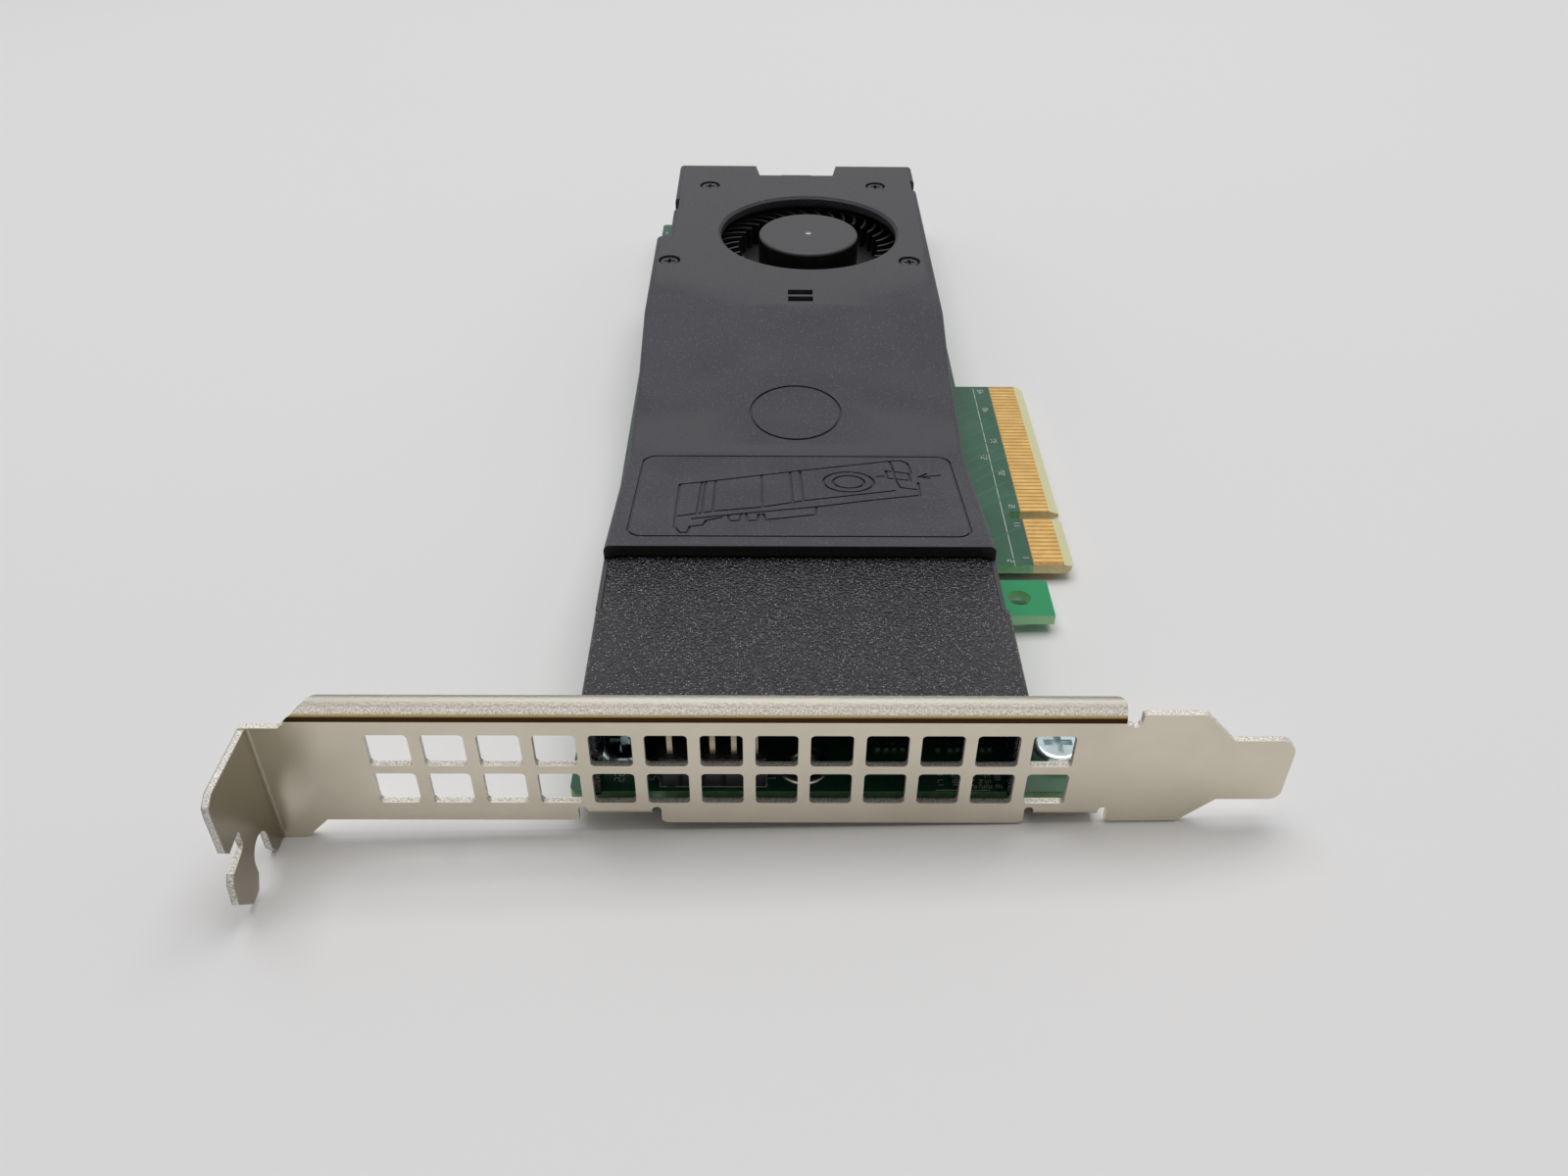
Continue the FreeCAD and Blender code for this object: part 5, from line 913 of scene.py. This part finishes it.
def under_bundles():
    lines = []
    for points, count, width, pitch in UNDER_BUNDLES:
        route = [Vector(point) for point in points]
        for index in range(count):
            side = (index - (count - 1) / 2.0) * pitch
            lines.append((offset_line(route, side), width, True))
    return lines


def via_points():
    """The ends of the traces underneath, and rows along the board's edges."""
    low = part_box("circuit_board")[0]
    points = []
    for points_mm, _, _ in under_bundles():
        ends = (points_mm[0], points_mm[-1])
        points += [(end.x, end.y) for end in ends if end.x < CLEAR_OF_FINGERS]
    for x, steps in ((low[0] / MM + EDGE_VIAS_IN, EDGE_VIAS_Y), (TAB_VIAS_X, TAB_VIAS_Y)):
        points += [(x, y) for y in steps]
    chance = random.Random(LOOSE_VIA_DRAW)
    for _ in range(LOOSE_VIAS):
        points.append((chance.uniform(*LOOSE_VIA_X), chance.uniform(*LOOSE_VIA_Y)))
    return points


def make_copper():
    ribbons("traces_top", top_pairs(), "board_laminate", COVERED_COPPER)
    ribbons("traces_under", under_bundles(), "board_laminate", COVERED_COPPER)
    places = via_points()
    for side, height in (("top", BOARD_TOP), ("under", BOARD_UNDER)):
        grow_rows("vias_" + side, [(x * MM, y * MM, height) for x, y in places], RING_TREE,
                  VIA_SIZES, "tinned_brass")


# -------------------------------------------------- chip parts' ends and solder
CAP_LENGTHS = {"setting_resistors": 0.22 * MM, "coupling_capacitors": 0.38 * MM,
               "power_capacitors": 0.38 * MM}
CAP_PROUD = 0.02 * MM
RING_SOLDER = {"Radius": 2.45 * MM, "Width": 0.75 * MM, "Flatness": (1.0, 1.0, 0.36),
               "Sides": 64, "Steps": 16}
PIN_SOLDER = {"Radius": 0.85 * MM, "Flatness": (1.0, 1.0, 0.7)}


def middle_of(corners):
    return (corners[0] + corners[1]) / 2.0


def island_boxes(node):
    """The lowest and highest corner of each separate solid of a node."""
    shape = merged_shape(node)
    waiting = set(shape.verts)
    boxes = []
    while waiting:
        group, edge = set(), [waiting.pop()]
        while edge:
            vertex = edge.pop()
            group.add(vertex)
            for link in vertex.link_edges:
                other = link.other_vert(vertex)
                if other in waiting:
                    waiting.discard(other)
                    edge.append(other)
        low = Vector([min(vertex.co[axis] for vertex in group) for axis in range(3)])
        high = Vector([max(vertex.co[axis] for vertex in group) for axis in range(3)])
        boxes.append((low, high))
    shape.free()
    return sorted(boxes, key=lambda pair: tuple(pair[0]))


def cap_chip_parts():
    """Tinned ends on the chip parts, which all lie along the card."""
    for node, length in CAP_LENGTHS.items():
        boxes = island_boxes(node)
        size = boxes[0][1] - boxes[0][0]
        points = []
        for low, high in boxes:
            middle = middle_of((low, high))
            for y in (low.y + length / 2.0 - CAP_PROUD, high.y - length / 2.0 + CAP_PROUD):
                points.append((middle.x, y, middle.z))
        grow_rows(node + "_ends", points, CAP_TREE,
                  {"Size": (size.x + 2 * CAP_PROUD, length, size.z + 2 * CAP_PROUD)},
                  "tinned_brass")


def solder_header():
    """The beads round the header's pins under the board."""
    middles = [middle_of(corners) for corners in island_boxes("header_pins")]
    points = [(middle.x, middle.y, BOARD_UNDER) for middle in middles]
    grow_rows("header_solder", points, BEAD_TREE, PIN_SOLDER, "tinned_brass")


def solder_plated_ring():
    """The solder that stands on the bare ring, higher in the middle of its width."""
    low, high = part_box("plated_ring")
    middle = middle_of((low, high))
    grow_rows("ring_solder", [(middle.x, middle.y, high.z)], RING_TREE, RING_SOLDER,
              "tinned_brass")


# -------------------------------------------------------------------- the room
# The bracket's edge, the end of its screw and the cover's latch, in mm.
RESTS_ON = ((-100.9, -58.19, -6.05), (-8.5, -50.74, -3.40), (-36.65, 107.15, -2.47))
FLOOR_GAP = 0.03 * MM
FLOOR_REACH, FLOOR_SQUARES, FLOOR_PATCH = 1.6, 8, 0.3    # in metres, and a count
FLOOR_TONES = (tone(240, 239, 240), tone(242, 241, 241))
FLOOR_GLOSS, FLOOR_ROUGHNESS = 0.2, 0.6
ROOM_LIGHT, FRONT_LIGHT, BACKGROUND = 0.36, 0.08, 0.72
FRONT_FADE = (-0.65, -0.10)              # Y of a direction, from dim front to full light
PANEL_PLACE, PANEL_AIM = (-0.05, 0.25, 1.2), (-0.05, 0.0, 0.0)
PANEL_SIZE, PANEL_POWER = (1.3, 0.9), 9.6                # in metres and watts


def floor_plane():
    """A point of the floor and its normal, from the three places the card rests on."""
    first, second, third = [Vector(point) * MM for point in RESTS_ON]
    normal = (second - first).cross(third - first).normalized()
    return first - normal * FLOOR_GAP, normal


def make_floor():
    point, normal = floor_plane()
    turn = normal.to_track_quat("Z", "Y")
    shape = bmesh.new()
    bmesh.ops.create_grid(shape, x_segments=FLOOR_SQUARES, y_segments=FLOOR_SQUARES,
                          size=FLOOR_REACH)
    bmesh.ops.transform(shape, matrix=Matrix.Translation(point) @ turn.to_matrix().to_4x4(),
                        verts=shape.verts)
    material, tree, shader = start_finish("pale_floor", gloss=FLOOR_GLOSS)
    pale = between(tree, mottled(tree, FLOOR_PATCH), *FLOOR_TONES)
    feed(tree, shader.inputs["Base Color"], pale)
    feed(tree, shader.inputs["Roughness"], FLOOR_ROUGHNESS)
    floor = new_object("floor", mesh_of(shape, "floor"))
    floor.data.materials.append(material)


def grey(level):
    return (level, level, level, 1.0)


def light_room(level, dim, seen):
    """World light: soft with a dim front, behind one pale tone that eye and mirror see."""
    world = bpy.data.worlds.new("room")
    bpy.context.scene.world = world
    world.use_nodes = True
    tree = world.node_tree
    tree.nodes.clear()
    rays = put(tree, "LightPath")
    looked_at = rays.outputs["Is Camera Ray"]
    for kind in ("Is Transmission Ray", "Is Glossy Ray"):
        looked_at = reckon(tree, "ADD", looked_at, rays.outputs[kind], clamp=True)
    way = axes_of(tree, put(tree, "TexCoord").outputs["Generated"])
    lit = spread(tree, way["Y"], *FRONT_FADE)
    soft = between(tree, lit, grey(dim), grey(level))
    light = put(tree, "Background")
    feed(tree, light.inputs["Color"], between(tree, looked_at, soft, grey(seen)))
    feed(tree, light.inputs["Strength"], 1.0)
    output = put(tree, "OutputWorld")
    tree.links.new(light.outputs[0], output.inputs["Surface"])


def hang_lamp(name, place, aim, size, power):
    data = bpy.data.lights.new(name, "AREA")
    data.shape = "RECTANGLE"
    data.size, data.size_y = size
    data.energy = power
    lamp = new_object(name, data)
    lamp.location = place
    lamp.rotation_euler = (Vector(aim) - Vector(place)).to_track_quat("-Z", "Y").to_euler()


def set_room():
    make_floor()
    light_room(ROOM_LIGHT, FRONT_LIGHT, BACKGROUND)
    hang_lamp("ceiling_panel", PANEL_PLACE, PANEL_AIM, PANEL_SIZE, PANEL_POWER)


# ---------------------------------------------------------------------- making
set_camera()
dress_nodes()
soften_main_pieces()
print_top()
print_under()
make_copper()
cap_chip_parts()
solder_header()
solder_plated_ring()
set_room()
